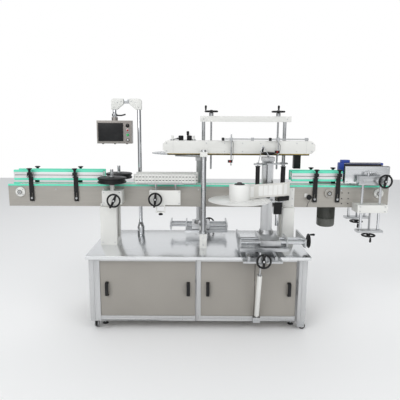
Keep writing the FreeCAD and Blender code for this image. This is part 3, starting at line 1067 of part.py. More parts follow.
def front_head():
    x = "head_column_at"
    y = "0 - head_column_out"
    node("front_head_base", [fuse([slide_base("head_at", -1, "head_base_in")] + base_strut())])
    node("front_saddle", [saddle("head_at", -1, 1, "cross_plate_in", "saddle_out")])
    slider = carriage("head_at", -1, 1, "cross_plate_in", "head_column_out", "head_column_top")
    well = round_bar(SCREW_BORE, "head_cap * 2", (x, y, "head_column_top + head_cap + overcut"), "-Z")
    node("front_carriage", [cut(slider, [well])])

    inner = "head_column_side + 2 * slack_gap"
    outer = f"({inner} + 2 * sleeve_wall)"
    sleeve = block((outer, outer, "sleeve_high"), (f"{x} - {outer} / 2", f"{y} - {outer} / 2", "sleeve_low"))
    tunnel = block((inner, inner, "sleeve_high + 2 * overcut"),
                   (f"{x} - ({inner}) / 2", f"{y} - ({inner}) / 2", "sleeve_low - overcut"))
    front = f"{y} - {outer} / 2"
    arm_low = "reel_height - base_gauge - slack_gap - arm_gauge"
    arm = padded([("reel_at - spindle_dia", "0 - reel_out - spindle_dia"),
                  ("reel_at + spindle_dia", "0 - reel_out - spindle_dia"),
                  (f"{x} + head_column_side / 2", f"{front} - sleeve_wall"),
                  (f"{x} + head_column_side / 2", front), (f"{x} - head_column_side / 2", front),
                  ("reel_at - spindle_dia", "0 - reel_out + spindle_dia")], "arm_gauge", ("0", "0", arm_low))
    pin = reel_pin("reel_at", "0 - reel_out", f"{arm_low} + arm_gauge")
    top_low = "feed_low + feed_high + roller_stub"
    mast = block(("arm_gauge * 3", "sleeve_wall + overcut", f"{top_low} - sleeve_low"),
                 (f"{x} - arm_gauge", f"{front} - sleeve_wall", "sleeve_low"))
    top = padded([("feed_at - plate_margin", "0 - feed_out - plate_margin"),
                  ("feed_at + plate_margin", "0 - feed_out - plate_margin"),
                  (f"{x} - plate_margin * 0.7", f"{front} - plate_margin * 1.2"),
                  ("nip_at - plate_margin * 1.3", f"{front} - plate_margin * 1.2"),
                  ("nip_at + plate_margin", "0 - nip_out - plate_margin * 1.2"),
                  ("nip_at + plate_margin", "0 - nip_out + plate_margin * 0.9"),
                  ("nip_at - plate_margin * 0.9", "0 - nip_out + plate_margin * 0.9"),
                  (f"{x} + {outer} / 2", front), (f"{x} - {outer} / 2", front),
                  ("feed_at - plate_margin", "0 - feed_out + plate_margin")],
                 "arm_gauge", ("0", "0", top_low))
    shaft_holes = [round_bar("roller_shaft + 2 * running_gap", "arm_gauge + 2 * overcut",
                             (hole_x, hole_y, f"{top_low} - overcut"))
                   for hole_x, hole_y in (("feed_at", "0 - feed_out"), ("nip_at", "0 - nip_out"))]
    shelf = block(("drive_box * 1.4", "drive_box * 1.1", "arm_gauge"),
                  (f"{x} + {outer} / 2 - sleeve_wall", f"{y} - drive_box * 0.55", "sleeve_low"))
    drive_x = f"{x} + {outer} / 2 + drive_box / 2"
    drive_low = "sleeve_low - drive_box_high"
    drive = block(("drive_box", "drive_box", "drive_box_high + overcut"),
                  (f"{drive_x} - drive_box / 2", f"{y} - drive_box / 2", drive_low))
    can = round_bar("drive_can_dia", "drive_can_len", (drive_x, y, drive_low), "-Z")
    node("front_head", [cut(fuse([sleeve, arm, pin, mast, top, shelf, drive, can]), [tunnel] + shaft_holes)])
    node("front_reel", reel("reel_at", "0 - reel_out", "reel_height"))

    for name, roller_x, roller_y, dia, low, high in (
            ("feed_roller", "feed_at", "0 - feed_out", "feed_dia", "feed_low", "feed_high"),
            ("nip_roller", "nip_at", "0 - nip_out", "nip_dia", "nip_low", "nip_high")):
        seat = f"{top_low} + arm_gauge + slack_gap - ({low})"
        node(name, [turned([("0", "0"), (f"{dia} / 2", "0"), (f"{dia} / 2", "roller_lip"),
                            (f"{dia} * 0.42", "roller_lip"), (f"{dia} * 0.42", f"{high} - roller_lip"),
                            (f"{dia} / 2", f"{high} - roller_lip"), (f"{dia} / 2", high),
                            ("roller_shaft / 2", high), ("roller_shaft / 2", seat), ("roller_shaft", seat),
                            ("roller_shaft", f"{seat} + roller_stub"), ("0", f"{seat} + roller_stub")],
                           (roller_x, roller_y, low))])
    web = [("reel_at + roll_dia / 2 + slack_gap", "0 - reel_out"),
           ("feed_at + web_lead", "0 - feed_out - feed_dia / 2 - web_clear"),
           ("nip_at + web_lead * 2", "0 - nip_out - nip_dia / 2 - web_clear"),
           ("nip_at + web_tail", "0 - nip_out + plate_margin")]
    outer_side = [(web_x, f"{web_y} - web_gauge") for web_x, web_y in reversed(web)]
    node("label_web", [padded(web + outer_side, "roll_high - 2 * web_margin",
                              ("0", "0", "reel_height + reel_gauge + web_margin"))])
    node("handwheel_across", [handwheel(("head_at", "0 - base_wheel_out", SCREW_LEVEL), "-Y",
                                        "base_wheel_out - saddle_out + saddle_long * 0.3", 90)])
    node("handwheel_along", [handwheel(("cross_right + lift_wheel_up", "0 - cross_rod_mid", "cross_height"), "+X",
                                       "cross_right + lift_wheel_up - head_column_at + carriage_wide * 0.7", 180)])
    node("handwheel_height", [handwheel((x, y, "head_column_top + head_cap + wheel_rim * 2"), "+Z",
                                        "head_cap + wheel_rim * 2", 200)])


def rear_head():
    mid = "rear_head_at"
    arm_low = "rear_reel_height - base_gauge - slack_gap - arm_gauge"
    slider = carriage(mid, 1, -1, "rear_plate_in", "rear_column_out", f"{arm_low} - head_cap")
    right = f"{head_x(mid, -1, 'head_column_at')} + head_column_side / 2"
    pin_x = "0 - rear_reel_at"
    near = "rear_column_out - head_column_side / 2"
    arm = padded([(right, near), (right, f"{near} + head_column_side"),
                  (f"{pin_x} + spindle_dia", "rear_reel_out + spindle_dia"),
                  (f"{pin_x} - spindle_dia", "rear_reel_out + spindle_dia"),
                  (f"{pin_x} - spindle_dia", "rear_reel_out - spindle_dia"),
                  (f"{right} - head_column_side", near)], "arm_gauge", ("0", "0", arm_low))
    pin = reel_pin(pin_x, "rear_reel_out", f"{arm_low} + arm_gauge")
    wheel = handwheel((mid, "base_wheel_out", SCREW_LEVEL), "+Y",
                      "base_wheel_out - rear_saddle_out + saddle_long * 0.3", 90)
    node("rear_head", [slide_base(mid, 1, "rear_base_in"), saddle(mid, 1, -1, "rear_plate_in", "rear_saddle_out"),
                       fuse([slider, arm, pin]), wheel])
    node("rear_reel", reel(pin_x, "rear_reel_out", "rear_reel_height"))


# Wrap-round station at the outlet

WRAP_BARS = ("wrap_screw_at - wrap_block_wide * 0.3", "wrap_screw_at + wrap_block_wide * 0.12")
WRAP_BAR_LEVEL = "wrap_low + wrap_top_high / 2"
WRAP_RODS = ("wrap_rod_left", "wrap_rod_right")


def wrap_slide(side, foot_low):
    """A fixed guide block on the conveyor, and the lifted frame that runs in it."""
    y = f"{side} * wrap_out"
    deep = "wrap_out + wrap_block_deep / 2 - conveyor_wide / 2"
    holder = block(("wrap_block_wide", deep, "wrap_block_high"),
                   ("wrap_screw_at - wrap_block_wide / 2", mirrored("conveyor_wide / 2", deep, side),
                    "wrap_block_low"))
    through = "wrap_block_high + 2 * overcut"
    bores = [round_bar("wrap_rod_dia + 2 * running_gap", through, (x, y, "wrap_block_low - overcut"))
             for x in WRAP_RODS]
    bores.append(round_bar(SCREW_BORE, through, ("wrap_screw_at", y, "wrap_block_low - overcut")))

    foot = block(("wrap_block_wide * 0.86", "wrap_block_deep * 0.7", "wrap_foot_high"),
                 ("wrap_screw_at - wrap_block_wide * 0.43", f"{y} - wrap_block_deep * 0.35", foot_low))
    top = block(("wrap_block_wide * 0.95", "wrap_block_deep * 0.5", "wrap_top_high"),
                ("wrap_screw_at - wrap_block_wide * 0.475",
                 mirrored("wrap_out - wrap_block_deep * 0.25", "wrap_block_deep * 0.5", side), "wrap_low"))
    rods = [round_bar("wrap_rod_dia", f"wrap_low - {foot_low}", (x, y, foot_low)) for x in WRAP_RODS]
    near = mirrored("wrap_out - wrap_block_deep / 2", "wrap_block_deep", side)
    tools = [round_bar("wrap_bar_dia + 2 * running_gap", "wrap_block_deep", (x, near, WRAP_BAR_LEVEL), "+Y")
             for x in WRAP_BARS]
    tools.append(round_bar(SCREW_BORE, "wrap_foot_high + 2 * overcut",
                           ("wrap_screw_at", y, f"{foot_low} - overcut")))
    if side < 0:
        tools.append(round_bar(SCREW_BORE, "wrap_block_deep",
                               ("wrap_rod_right + wrap_screw_off", near, WRAP_BAR_LEVEL), "+Y"))
    return cut(holder, bores), cut(fuse([foot, top] + rods), tools)


def wrap_station():
    fixed = []
    lifted = []
    for name, side, foot_low in (("wrap_handwheel_front", -1, "wrap_foot_low"),
                                 ("wrap_handwheel_rear", 1, "wrap_rear_foot_low")):
        holder, frame = wrap_slide(side, foot_low)
        fixed.append(holder)
        lifted.append(frame)
        node(name, [handwheel(("wrap_screw_at", f"{side} * wrap_out", f"{foot_low} - wheel_hub"), "-Z",
                              f"wrap_block_low + wrap_block_high - {foot_low} + wheel_hub", 90)])
    node("wrap_lift", lifted)

    face = "0 - product_gap / 2 - wrap_pad_thick"
    pad = block(("wrap_right - wrap_left", "wrap_pad_thick", "wrap_high"), ("wrap_left", face, "wrap_low"))
    slides = [round_bar("wrap_bar_dia", f"wrap_out + wrap_block_deep * 0.27 + {face}", (x, face, WRAP_BAR_LEVEL), "-Y")
              for x in WRAP_BARS]
    node("wrap_pad", [fuse([pad] + slides)])

    back = "product_gap / 2 + wrap_belt_deep"
    belt = block(("wrap_right - wrap_belt_left", "wrap_belt_deep", "wrap_belt_high"),
                 ("wrap_belt_left", "product_gap / 2", "wrap_low"))
    box = block(("wrap_box_wide", "wrap_belt_deep * 0.8", "wrap_box_high"),
                ("wrap_belt_left + wheel_rim", "product_gap / 2 + wrap_belt_deep * 0.1", "wrap_low + wrap_belt_high"))
    arms = [round_bar("wrap_bar_dia", f"wrap_out + wrap_block_deep * 0.2 - ({back})", (x, back, WRAP_BAR_LEVEL), "+Y")
            for x in WRAP_BARS]
    node("wrap_belt", [fuse([belt, box] + arms)])
    node("wrap_handwheel_across",
         [handwheel(("wrap_rod_right + wrap_screw_off", "0 - wrap_out - wrap_block_deep * 0.25 - wrap_wheel_out",
                     WRAP_BAR_LEVEL), "-Y", "wrap_wheel_out + wrap_block_deep * 0.3", 80)])
    return fixed


table()
cabinet()
panels()
casters()
conveyor()
shafts()
gearmotor()
stands()
rail_brackets()
guide_rails()
infeed_mounts = separator() + lane_chains()
gantry()
press()
sensors()
screen_post()
control_box()
front_head()
rear_head()
node("device_brackets", infeed_mounts + wrap_station())
doc.recompute()

failed = [part.Name for part in doc.Objects if "Invalid" in part.State or "Error" in part.State]
if failed:
    raise RuntimeError("objects that did not compute: " + ", ".join(failed))
for part in NODES:
    if part.Shape.isNull() or not part.Shape.isValid():
        raise RuntimeError("bad shape: " + part.Label)

os.makedirs("parts", exist_ok=True)
for part in NODES:
    part.Shape.exportStep(f"parts/{part.Label}.step")
    box = part.Shape.BoundBox
    print(f"{part.Label:24s} solids {len(part.Shape.Solids):3d}  X {box.XMin:8.1f} {box.XMax:8.1f}  "
          f"Y {box.YMin:7.1f} {box.YMax:7.1f}  Z {box.ZMin:7.1f} {box.ZMax:7.1f}")
print(len(NODES), "nodes")
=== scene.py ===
import json
import math

import bmesh
import bpy
from mathutils import Matrix, Vector

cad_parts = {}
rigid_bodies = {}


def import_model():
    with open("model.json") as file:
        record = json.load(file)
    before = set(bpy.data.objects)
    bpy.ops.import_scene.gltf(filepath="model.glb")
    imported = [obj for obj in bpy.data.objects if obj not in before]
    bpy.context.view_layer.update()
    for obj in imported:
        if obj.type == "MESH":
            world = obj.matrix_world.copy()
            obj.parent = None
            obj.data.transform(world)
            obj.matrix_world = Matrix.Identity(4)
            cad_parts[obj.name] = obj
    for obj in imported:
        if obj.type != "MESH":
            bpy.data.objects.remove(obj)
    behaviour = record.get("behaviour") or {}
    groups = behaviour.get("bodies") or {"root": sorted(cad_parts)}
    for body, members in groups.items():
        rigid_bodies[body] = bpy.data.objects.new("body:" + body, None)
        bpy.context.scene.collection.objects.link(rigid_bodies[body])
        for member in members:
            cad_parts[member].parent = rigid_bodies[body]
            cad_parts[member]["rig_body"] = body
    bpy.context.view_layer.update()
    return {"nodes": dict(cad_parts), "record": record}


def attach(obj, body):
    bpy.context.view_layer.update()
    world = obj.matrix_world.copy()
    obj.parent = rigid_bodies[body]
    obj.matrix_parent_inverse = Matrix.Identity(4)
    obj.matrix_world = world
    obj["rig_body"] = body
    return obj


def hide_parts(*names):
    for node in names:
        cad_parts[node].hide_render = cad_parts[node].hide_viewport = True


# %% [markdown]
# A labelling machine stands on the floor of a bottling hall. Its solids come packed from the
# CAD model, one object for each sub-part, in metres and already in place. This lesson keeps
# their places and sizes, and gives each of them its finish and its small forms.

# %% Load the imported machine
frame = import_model()
NODES = frame["nodes"]
BODY_OF = {name: node["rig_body"] for name, node in NODES.items()}
MM = 0.001

# %% [markdown]
# The photograph looks at the machine from the front, about eye height, with a slight downward
# tilt. The focal length and the camera's place were worked out from the ends of the conveyor
# and of the table, whose real sizes the model fixes.

# %% Camera
PHOTO_SIDE = 400
FOCAL_PX = 438.0
MIDDLE_PX = 198.5
CAMERA_AT = (0.0, -3.477, 1.535)
CAMERA_PITCH = math.radians(90.0 - 9.8)
CAMERA_ROLL = math.radians(0.28)

camera_data = bpy.data.cameras.new("photo_camera")
camera_data.sensor_width = 36.0
camera_data.lens = camera_data.sensor_width * FOCAL_PX / PHOTO_SIDE
camera_data.shift_x = (PHOTO_SIDE / 2 - MIDDLE_PX) / PHOTO_SIDE
camera_data.clip_end = 60.0
camera = bpy.data.objects.new("photo_camera", camera_data)
camera.matrix_world = (Matrix.Translation(CAMERA_AT) @ Matrix.Rotation(CAMERA_PITCH, 4, "X")
                       @ Matrix.Rotation(CAMERA_ROLL, 4, "Z"))
bpy.context.scene.collection.objects.link(camera)
bpy.context.scene.camera = camera
bpy.context.scene.view_settings.view_transform = "Standard"
print("lens", round(camera_data.lens, 2), "mm")


# %% [markdown]
# The paper behind the machine is white, so rays from the camera, and rays through clear plastic,
# see plain white. The light on the machine comes from a softer room: bright in front and behind,
# darker at both sides, because bright metal only looks round when it mirrors something dark.

# %% White room: floor, world and soft lamps
def node_of(tree, kind, **values):
    """A shader node with its sockets or settings given by name, a _ standing for a space."""
    made = tree.nodes.new(kind)
    for word, value in values.items():
        socket = word.replace("_", " ")
        if socket in made.inputs:
            made.inputs[socket].default_value = value
        else:
            setattr(made, word, value)
    return made


def wire(tree, *pairs):
    """Join sockets, each pair from an output to an input."""
    for source, target in pairs:
        tree.links.new(source, target)


SIDE_LEVEL, FRONT_LEVEL = 0.16, 0.8
FRONT_ENDS, SIDE_BEGINS = 0.35, 0.95
world = bpy.data.worlds.new("white_room")
bpy.context.scene.world = world
world.use_nodes = True
sky = world.node_tree
sky.nodes.clear()
lit = node_of(sky, "ShaderNodeBackground", Color=(0.97, 0.985, 1.0, 1.0))
seen = node_of(sky, "ShaderNodeBackground", Color=(1.0, 1.0, 1.0, 1.0), Strength=1.0)
look = node_of(sky, "ShaderNodeTexCoord")
split = node_of(sky, "ShaderNodeSeparateXYZ")
aside = node_of(sky, "ShaderNodeMath", operation="ABSOLUTE")
level = node_of(sky, "ShaderNodeMapRange", interpolation_type="SMOOTHSTEP", From_Min=FRONT_ENDS,
                From_Max=SIDE_BEGINS, To_Min=FRONT_LEVEL, To_Max=SIDE_LEVEL)
ray = node_of(sky, "ShaderNodeLightPath")
either = node_of(sky, "ShaderNodeMath", operation="MAXIMUM")
choose = node_of(sky, "ShaderNodeMixShader")
out = node_of(sky, "ShaderNodeOutputWorld")
wire(sky, (look.outputs["Generated"], split.inputs[0]), (split.outputs["X"], aside.inputs[0]),
     (aside.outputs[0], level.inputs["Value"]), (level.outputs["Result"], lit.inputs["Strength"]),
     (ray.outputs["Is Camera Ray"], either.inputs[0]),
     (ray.outputs["Is Transmission Ray"], either.inputs[1]), (either.outputs[0], choose.inputs[0]),
     (lit.outputs[0], choose.inputs[1]), (seen.outputs[0], choose.inputs[2]),
     (choose.outputs[0], out.inputs["Surface"]))

FLOOR_REACH = 9.0
floor_form = bmesh.new()
bmesh.ops.create_grid(floor_form, x_segments=1, y_segments=1, size=FLOOR_REACH)
floor_mesh = bpy.data.meshes.new("floor")
floor_form.to_mesh(floor_mesh)
floor_form.free()
floor = bpy.data.objects.new("floor", floor_mesh)
bpy.context.scene.collection.objects.link(floor)
pale = bpy.data.materials.new("pale_floor")
pale.use_nodes = True
pale_shader = pale.node_tree.nodes["Principled BSDF"]
pale_shader.inputs["Base Color"].default_value = (0.97, 0.97, 0.97, 1.0)
pale_shader.inputs["Roughness"].default_value = 0.85
floor_mesh.materials.append(pale)

LAMP_AIM = Vector((0.0, 0.0, 0.9))
LAMPS = {"key": ((-2.6, -4.2, 4.4), 3.4, 96.0), "fill": ((3.4, -4.0, 2.8), 3.0, 56.0),
         "back": ((0.4, 3.8, 4.2), 3.2, 45.0)}
for word, (place, side, watts) in LAMPS.items():
    lamp_data = bpy.data.lights.new(word + "_lamp", "AREA")
    lamp_data.shape = "SQUARE"
    lamp_data.size = side
    lamp_data.energy = watts
    lamp = bpy.data.objects.new(word + "_lamp", lamp_data)
    turned = (LAMP_AIM - Vector(place)).to_track_quat("-Z", "Y").to_matrix().to_4x4()
    lamp.matrix_world = Matrix.Translation(place) @ turned
    lamp.visible_glossy = word == "key"
    bpy.context.scene.collection.objects.link(lamp)
print("room levels", SIDE_LEVEL, FRONT_LEVEL)


# %% [markdown]
# Real finishes are never one flat colour: rolled sheet carries fine streaks, paint has a soft
# orange-peel skin, moulded plastic a fine grain, and all of them pick up a little dust and
# handling. Three shader groups hold these effects once, and each material uses them with its
# own scale and strength. They read Object coordinates, so they stay put as a part moves.

# %% Shader groups for streaks, grain and handling
def shader_group(name, inputs, outputs):
    """An empty shader group with float inputs (name, default) and named outputs."""
    group = bpy.data.node_groups.new(name, "ShaderNodeTree")
    for word, value in inputs:
        socket = group.interface.new_socket(word, in_out="INPUT", socket_type="NodeSocketFloat")
        socket.default_value = value
    for word in outputs:
        group.interface.new_socket(word, in_out="OUTPUT", socket_type="NodeSocketFloat")
    place = node_of(group, "ShaderNodeTexCoord").outputs["Object"]
    return group, group.nodes.new("NodeGroupInput"), group.nodes.new("NodeGroupOutput"), place


def spread(tree, source, low, high):
    """Map a noise value about its middle to a span from low to high."""
    mapped = node_of(tree, "ShaderNodeMapRange", From_Min=0.3, From_Max=0.7, To_Min=low, To_Max=high)
    tree.links.new(source, mapped.inputs["Value"])
    return mapped.outputs["Result"]


def streak_group():
    """Long fine lines along X, Y or Z, as a brush or a rolling mill leaves them."""
    group, given, result, place = shader_group(
        "brushed_streaks", (("Along X", 1.0), ("Along Y", 60.0), ("Along Z", 60.0), ("Strength", 0.5)),
        ("Value", "Height"))
    stretch = node_of(group, "ShaderNodeCombineXYZ")
    for axis in "XYZ":
        group.links.new(given.outputs["Along " + axis], stretch.inputs[axis])
    laid = node_of(group, "ShaderNodeVectorMath", operation="MULTIPLY")
    lines = node_of(group, "ShaderNodeTexNoise", Scale=4.0, Detail=4.0, Roughness=0.65)
    scaled = node_of(group, "ShaderNodeMath", operation="MULTIPLY")
    wire(group, (place, laid.inputs[0]), (stretch.outputs[0], laid.inputs[1]),
         (laid.outputs[0], lines.inputs["Vector"]), (lines.outputs["Fac"], scaled.inputs[0]),
         (given.outputs["Strength"], scaled.inputs[1]), (lines.outputs["Fac"], result.inputs["Value"]),
         (scaled.outputs[0], result.inputs["Height"]))
    return group


def grain_group():
    """A fine even grain with broad soft patches over it: paint skin or moulded plastic."""
    group, given, result, place = shader_group(
        "fine_grain", (("Grain", 900.0), ("Patch", 6.0), ("Strength", 0.5)), ("Patches", "Height"))
    fine = node_of(group, "ShaderNodeTexNoise", Detail=2.0)
    broad = node_of(group, "ShaderNodeTexNoise", Detail=3.0)
    scaled = node_of(group, "ShaderNodeMath", operation="MULTIPLY")
    for noise, word in ((fine, "Grain"), (broad, "Patch")):
        wire(group, (place, noise.inputs["Vector"]), (given.outputs[word], noise.inputs["Scale"]))
    wire(group, (fine.outputs["Fac"], scaled.inputs[0]), (given.outputs["Strength"], scaled.inputs[1]),
         (broad.outputs["Fac"], result.inputs["Patches"]), (scaled.outputs[0], result.inputs["Height"]))
    return group


def handling_group():
    """A mask of smudges and dust in soft blots."""
    group, given, result, place = shader_group("handling", (("Scale", 14.0), ("Amount", 0.3)), ("Mask",))
    blots = node_of(group, "ShaderNodeTexNoise", Detail=6.0, Roughness=0.7)
    cut_off = node_of(group, "ShaderNodeMapRange", From_Min=0.52, From_Max=0.8)
    amount = node_of(group, "ShaderNodeMath", operation="MULTIPLY")
    wire(group, (place, blots.inputs["Vector"]), (given.outputs["Scale"], blots.inputs["Scale"]),
         (blots.outputs["Fac"], cut_off.inputs["Value"]), (cut_off.outputs["Result"], amount.inputs[0]),
         (given.outputs["Amount"], amount.inputs[1]), (amount.outputs[0], result.inputs["Mask"]))
    return group


STREAKS = streak_group()
GRAIN = grain_group()
HANDLING = handling_group()
print("shader groups", [group.name for group in (STREAKS, GRAIN, HANDLING)])


# %% [markdown]
# Each finish starts from the Principled shader. The colour is mixed a little lighter or darker
# by the broad patches, the roughness moves with the streaks or the grain, and handling marks
# dull it here and there. A Bump node turns the fine pattern's height into a surface normal.

# %% Finishes
def finish(name, colour, roughness, metallic, scale, shade, swing, bump, marks, **own):
    """A material. A scale of three numbers stretches streaks, one of two sizes grain and patches.

    Shade and swing say how far the pattern moves the colour and the roughness, bump is its
    height in metres, and marks is the amount of handling.
    """
    made = bpy.data.materials.new(name)
    made.use_nodes = True
    tree = made.node_tree
    shader = tree.nodes["Principled BSDF"]
    shader.inputs["Metallic"].default_value = metallic
    for word, value in own.items():
        shader.inputs[word.replace("_", " ")].default_value = value
    skin = node_of(tree, "ShaderNodeGroup")
    if len(scale) == 3:
        skin.node_tree = STREAKS
        sizes = zip(("Along X", "Along Y", "Along Z"), scale)
        vary = skin.outputs["Value"]
    else:
        skin.node_tree = GRAIN
        sizes = zip(("Grain", "Patch"), scale)
        vary = skin.outputs["Patches"]
    for word, value in sizes:
        skin.inputs[word].default_value = value
    skin.inputs["Strength"].default_value = 1.0
    worn = node_of(tree, "ShaderNodeGroup", node_tree=HANDLING, Scale=14.0, Amount=marks)
    mask = worn.outputs["Mask"]

    tint = node_of(tree, "ShaderNodeMix", data_type="RGBA", blend_type="MULTIPLY", Factor=1.0,
                   A=(*colour, 1.0))
    tone = node_of(tree, "ShaderNodeCombineColor")
    lightness = spread(tree, vary, 1.0 - shade, 1.0 + shade * 0.6)
    for channel in ("Red", "Green", "Blue"):
        tree.links.new(lightness, tone.inputs[channel])
    dusty = node_of(tree, "ShaderNodeMix", data_type="RGBA", B=(*(c * 0.7 + 0.12 for c in colour), 1.0))
    rough = spread(tree, vary, max(roughness - swing, 0.02), roughness + swing)
    total = node_of(tree, "ShaderNodeMath", operation="ADD", use_clamp=True)
    raised = node_of(tree, "ShaderNodeBump", Distance=bump, Strength=0.5)
    wire(tree, (tone.outputs["Color"], tint.inputs["B"]), (mask, dusty.inputs["Factor"]),
         (tint.outputs["Result"], dusty.inputs["A"]), (dusty.outputs["Result"], shader.inputs["Base Color"]),
         (rough, total.inputs[0]), (mask, total.inputs[1]), (total.outputs[0], shader.inputs["Roughness"]),
         (skin.outputs["Height"], raised.inputs["Height"]),
         (raised.outputs["Normal"], shader.inputs["Normal"]))
    return made


STAINLESS = finish("stainless_sheet", (0.82, 0.83, 0.84), 0.2, 1.0, (0.6, 90.0, 90.0), 0.10, 0.07, 0.0001,
                   0.12)
STEEL = finish("machined_steel", (0.58, 0.59, 0.60), 0.3, 1.0, (4.0, 4.0, 40.0), 0.05, 0.05, 0.00003, 0.05)
CHROME = finish("polished_chrome", (0.74, 0.75, 0.77), 0.08, 1.0, (300.0, 9.0), 0.04, 0.03, 0.00003, 0.06)
ALUMINIUM = finish("anodised_aluminium", (0.64, 0.645, 0.65), 0.34, 1.0, (60.0, 60.0, 1.5), 0.07, 0.08,
                   0.0001, 0.15)
RAIL_METAL = finish("rail_aluminium", (0.84, 0.84, 0.84), 0.4, 0.5, (1.5, 60.0, 60.0), 0.07, 0.08, 0.0001,
                    0.12)
PANEL = finish("grey_panel_paint", (0.335, 0.315, 0.285), 0.42, 0.0, (700.0, 2.5), 0.05, 0.06, 0.0003, 0.16)
PLATE = finish("conveyor_plate_paint", (0.405, 0.385, 0.35), 0.4, 0.15, (0.5, 30.0, 40.0), 0.07, 0.08, 0.0001,
               0.14)
LIGHT_PAINT = finish("light_grey_paint", (0.79, 0.79, 0.76), 0.36, 0.0, (800.0, 5.0), 0.04, 0.05, 0.0002,
                     0.14)
MOTOR_PAINT = finish("dark_motor_paint", (0.115, 0.12, 0.108), 0.4, 0.0, (600.0, 12.0), 0.12, 0.08, 0.0004,
                     0.22)
TEAL = finish("teal_wear_plastic", (0.15, 0.80, 0.56), 0.36, 0.0, (900.0, 7.0), 0.06, 0.06, 0.0002, 0.15)
WHITE_PLASTIC = finish("white_slat_plastic", (0.80, 0.80, 0.77), 0.38, 0.0, (900.0, 20.0), 0.06, 0.06, 0.0002,
                       0.25)
BLACK = finish("black_moulded_plastic", (0.011, 0.011, 0.012), 0.42, 0.0, (1100.0, 12.0), 0.15, 0.07, 0.0003,
               0.12, Specular_IOR_Level=0.3)
FOAM = finish("black_soft_facing", (0.012, 0.012, 0.013), 0.85, 0.0, (1500.0, 10.0), 0.2, 0.08, 0.0012, 0.15)
REEL_SHEET = finish("grey_reel_sheet", (0.80, 0.80, 0.78), 0.3, 0.0, (500.0, 4.0), 0.05, 0.06, 0.0001, 0.16)
ACRYLIC = finish("clear_acrylic_disc", (0.72, 0.75, 0.77), 0.08, 0.0, (300.0, 4.0), 0.03, 0.03, 0.00003, 0.05,
                 Transmission_Weight=0.8, IOR=1.45)
BACKING = finish("backing_paper", (0.76, 0.75, 0.71), 0.5, 0.0, (900.0, 8.0), 0.04, 0.05, 0.0001, 0.05)
PAPER = finish("label_roll_paper", (0.90, 0.90, 0.88), 0.6, 0.0, (4.0, 4.0, 260.0), 0.05, 0.05, 0.0002, 0.06)
RUBBER = finish("rubber_tread", (0.03, 0.03, 0.03), 0.75, 0.0, (900.0, 20.0), 0.2, 0.08, 0.0006, 0.3)
BELT = finish("ribbed_belt", (0.035, 0.032, 0.026), 0.65, 0.0, (700.0, 20.0), 0.2, 0.08, 0.0006, 0.2)
BELT_EDGE = finish("yellow_belt_edge", (0.62, 0.45, 0.10), 0.55, 0.0, (700.0, 20.0), 0.1, 0.08, 0.0004, 0.2)
BLUE = finish("blue_device_paint", (0.025, 0.065, 0.36), 0.4, 0.0, (700.0, 9.0), 0.08, 0.06, 0.0002, 0.15)
BOX_PAINT = finish("control_box_sheet", (0.33, 0.305, 0.285), 0.36, 0.5, (700.0, 6.0), 0.06, 0.06, 0.0002,
                   0.15)
SCREEN = finish("dark_screen_glass", (0.022, 0.022, 0.024), 0.12, 0.0, (300.0, 5.0), 0.1, 0.05, 0.00005, 0.05)
RED = finish("red_button_plastic", (0.45, 0.02, 0.015), 0.3, 0.0, (900.0, 30.0), 0.08, 0.05, 0.0001, 0.1)
GREEN = finish("green_lamp_plastic", (0.04, 0.42, 0.12), 0.25, 0.0, (900.0, 30.0), 0.08, 0.05, 0.0001, 0.1)
print("finishes", len(bpy.data.materials))


# %% [markdown]
# The shapes are made with a few workshop helpers. Each returns a bmesh that is still free, so
# that several can be gathered into one piece before it is written to an object. Sizes are given
# in millimetres, as on a drawing, and turned into Blender's metres here. A shape is first built
# upright at the origin and then laid in its place with one matrix, which keeps the object itself
# unturned.

# %% Helpers: placing, gathering, easing edges
LAID = {"Z": Matrix.Identity(4), "-Z": Matrix.Rotation(math.pi, 4, "X"),
        "X": Matrix.Rotation(math.pi / 2, 4, "Y"), "-X": Matrix.Rotation(-math.pi / 2, 4, "Y"),
        "Y": Matrix.Rotation(-math.pi / 2, 4, "X"), "-Y": Matrix.Rotation(math.pi / 2, 4, "X")}
SIDES = ((-1, "-Y"), (1, "Y"))
ROUND_STEPS = 48
FINE_STEPS = 64
MEDIUM_STEPS = 40
SMALL_STEPS = 24
HEX_STEPS = 6
WELD = 0.001


def spots(xs, ys, zs):
    """Every point of a grid."""
    return [(x, y, z) for x in xs for y in ys for z in zs]


def around(x, y, z, radius, start, count=4):
    """Points at an even pitch on a level circle, the first of them at an angle in degrees."""
    angles = [math.radians(start + 360 / count * k) for k in range(count)]
    return [(x + radius * math.cos(angle), y + radius * math.sin(angle), z) for angle in angles]


def facing(at, along="Z", turn=0.0):
    """The matrix that lays a shape's own Z along an axis, at a point in millimetres."""
    if isinstance(along, str):
        laid = LAID[along]
    else:
        laid = Vector(along).to_track_quat("Z", "Y").to_matrix().to_4x4()
    return Matrix.Translation(Vector(at) * MM) @ laid @ Matrix.Rotation(math.radians(turn), 4, "Z")


def placed(form, matrix):
    """Move and turn a whole shape."""
    bmesh.ops.transform(form, matrix=matrix, verts=form.verts[:])
    return form


def gather(*forms):
    """Join several shapes into the first of them."""
    whole = forms[0]
    for form in forms[1:]:
        passing = bpy.data.meshes.new("passing")
        form.to_mesh(passing)
        whole.from_mesh(passing)
        form.free()
        bpy.data.meshes.remove(passing)
    return whole


def repeated(form, places):
    """One shape laid again and again, by a matrix for each copy."""
    pattern = bpy.data.meshes.new("pattern")
    form.to_mesh(pattern)
    form.free()
    whole = bmesh.new()
    for place in places:
        start = len(whole.verts)
        whole.from_mesh(pattern)
        whole.verts.ensure_lookup_table()
        bmesh.ops.transform(whole, matrix=place, verts=whole.verts[start:])
    bpy.data.meshes.remove(pattern)
    return whole


def toned(form, tone):
    """Give every face of a shape one of its piece's finishes, by number."""
    for face in form.faces:
        face.material_index = tone
    return form


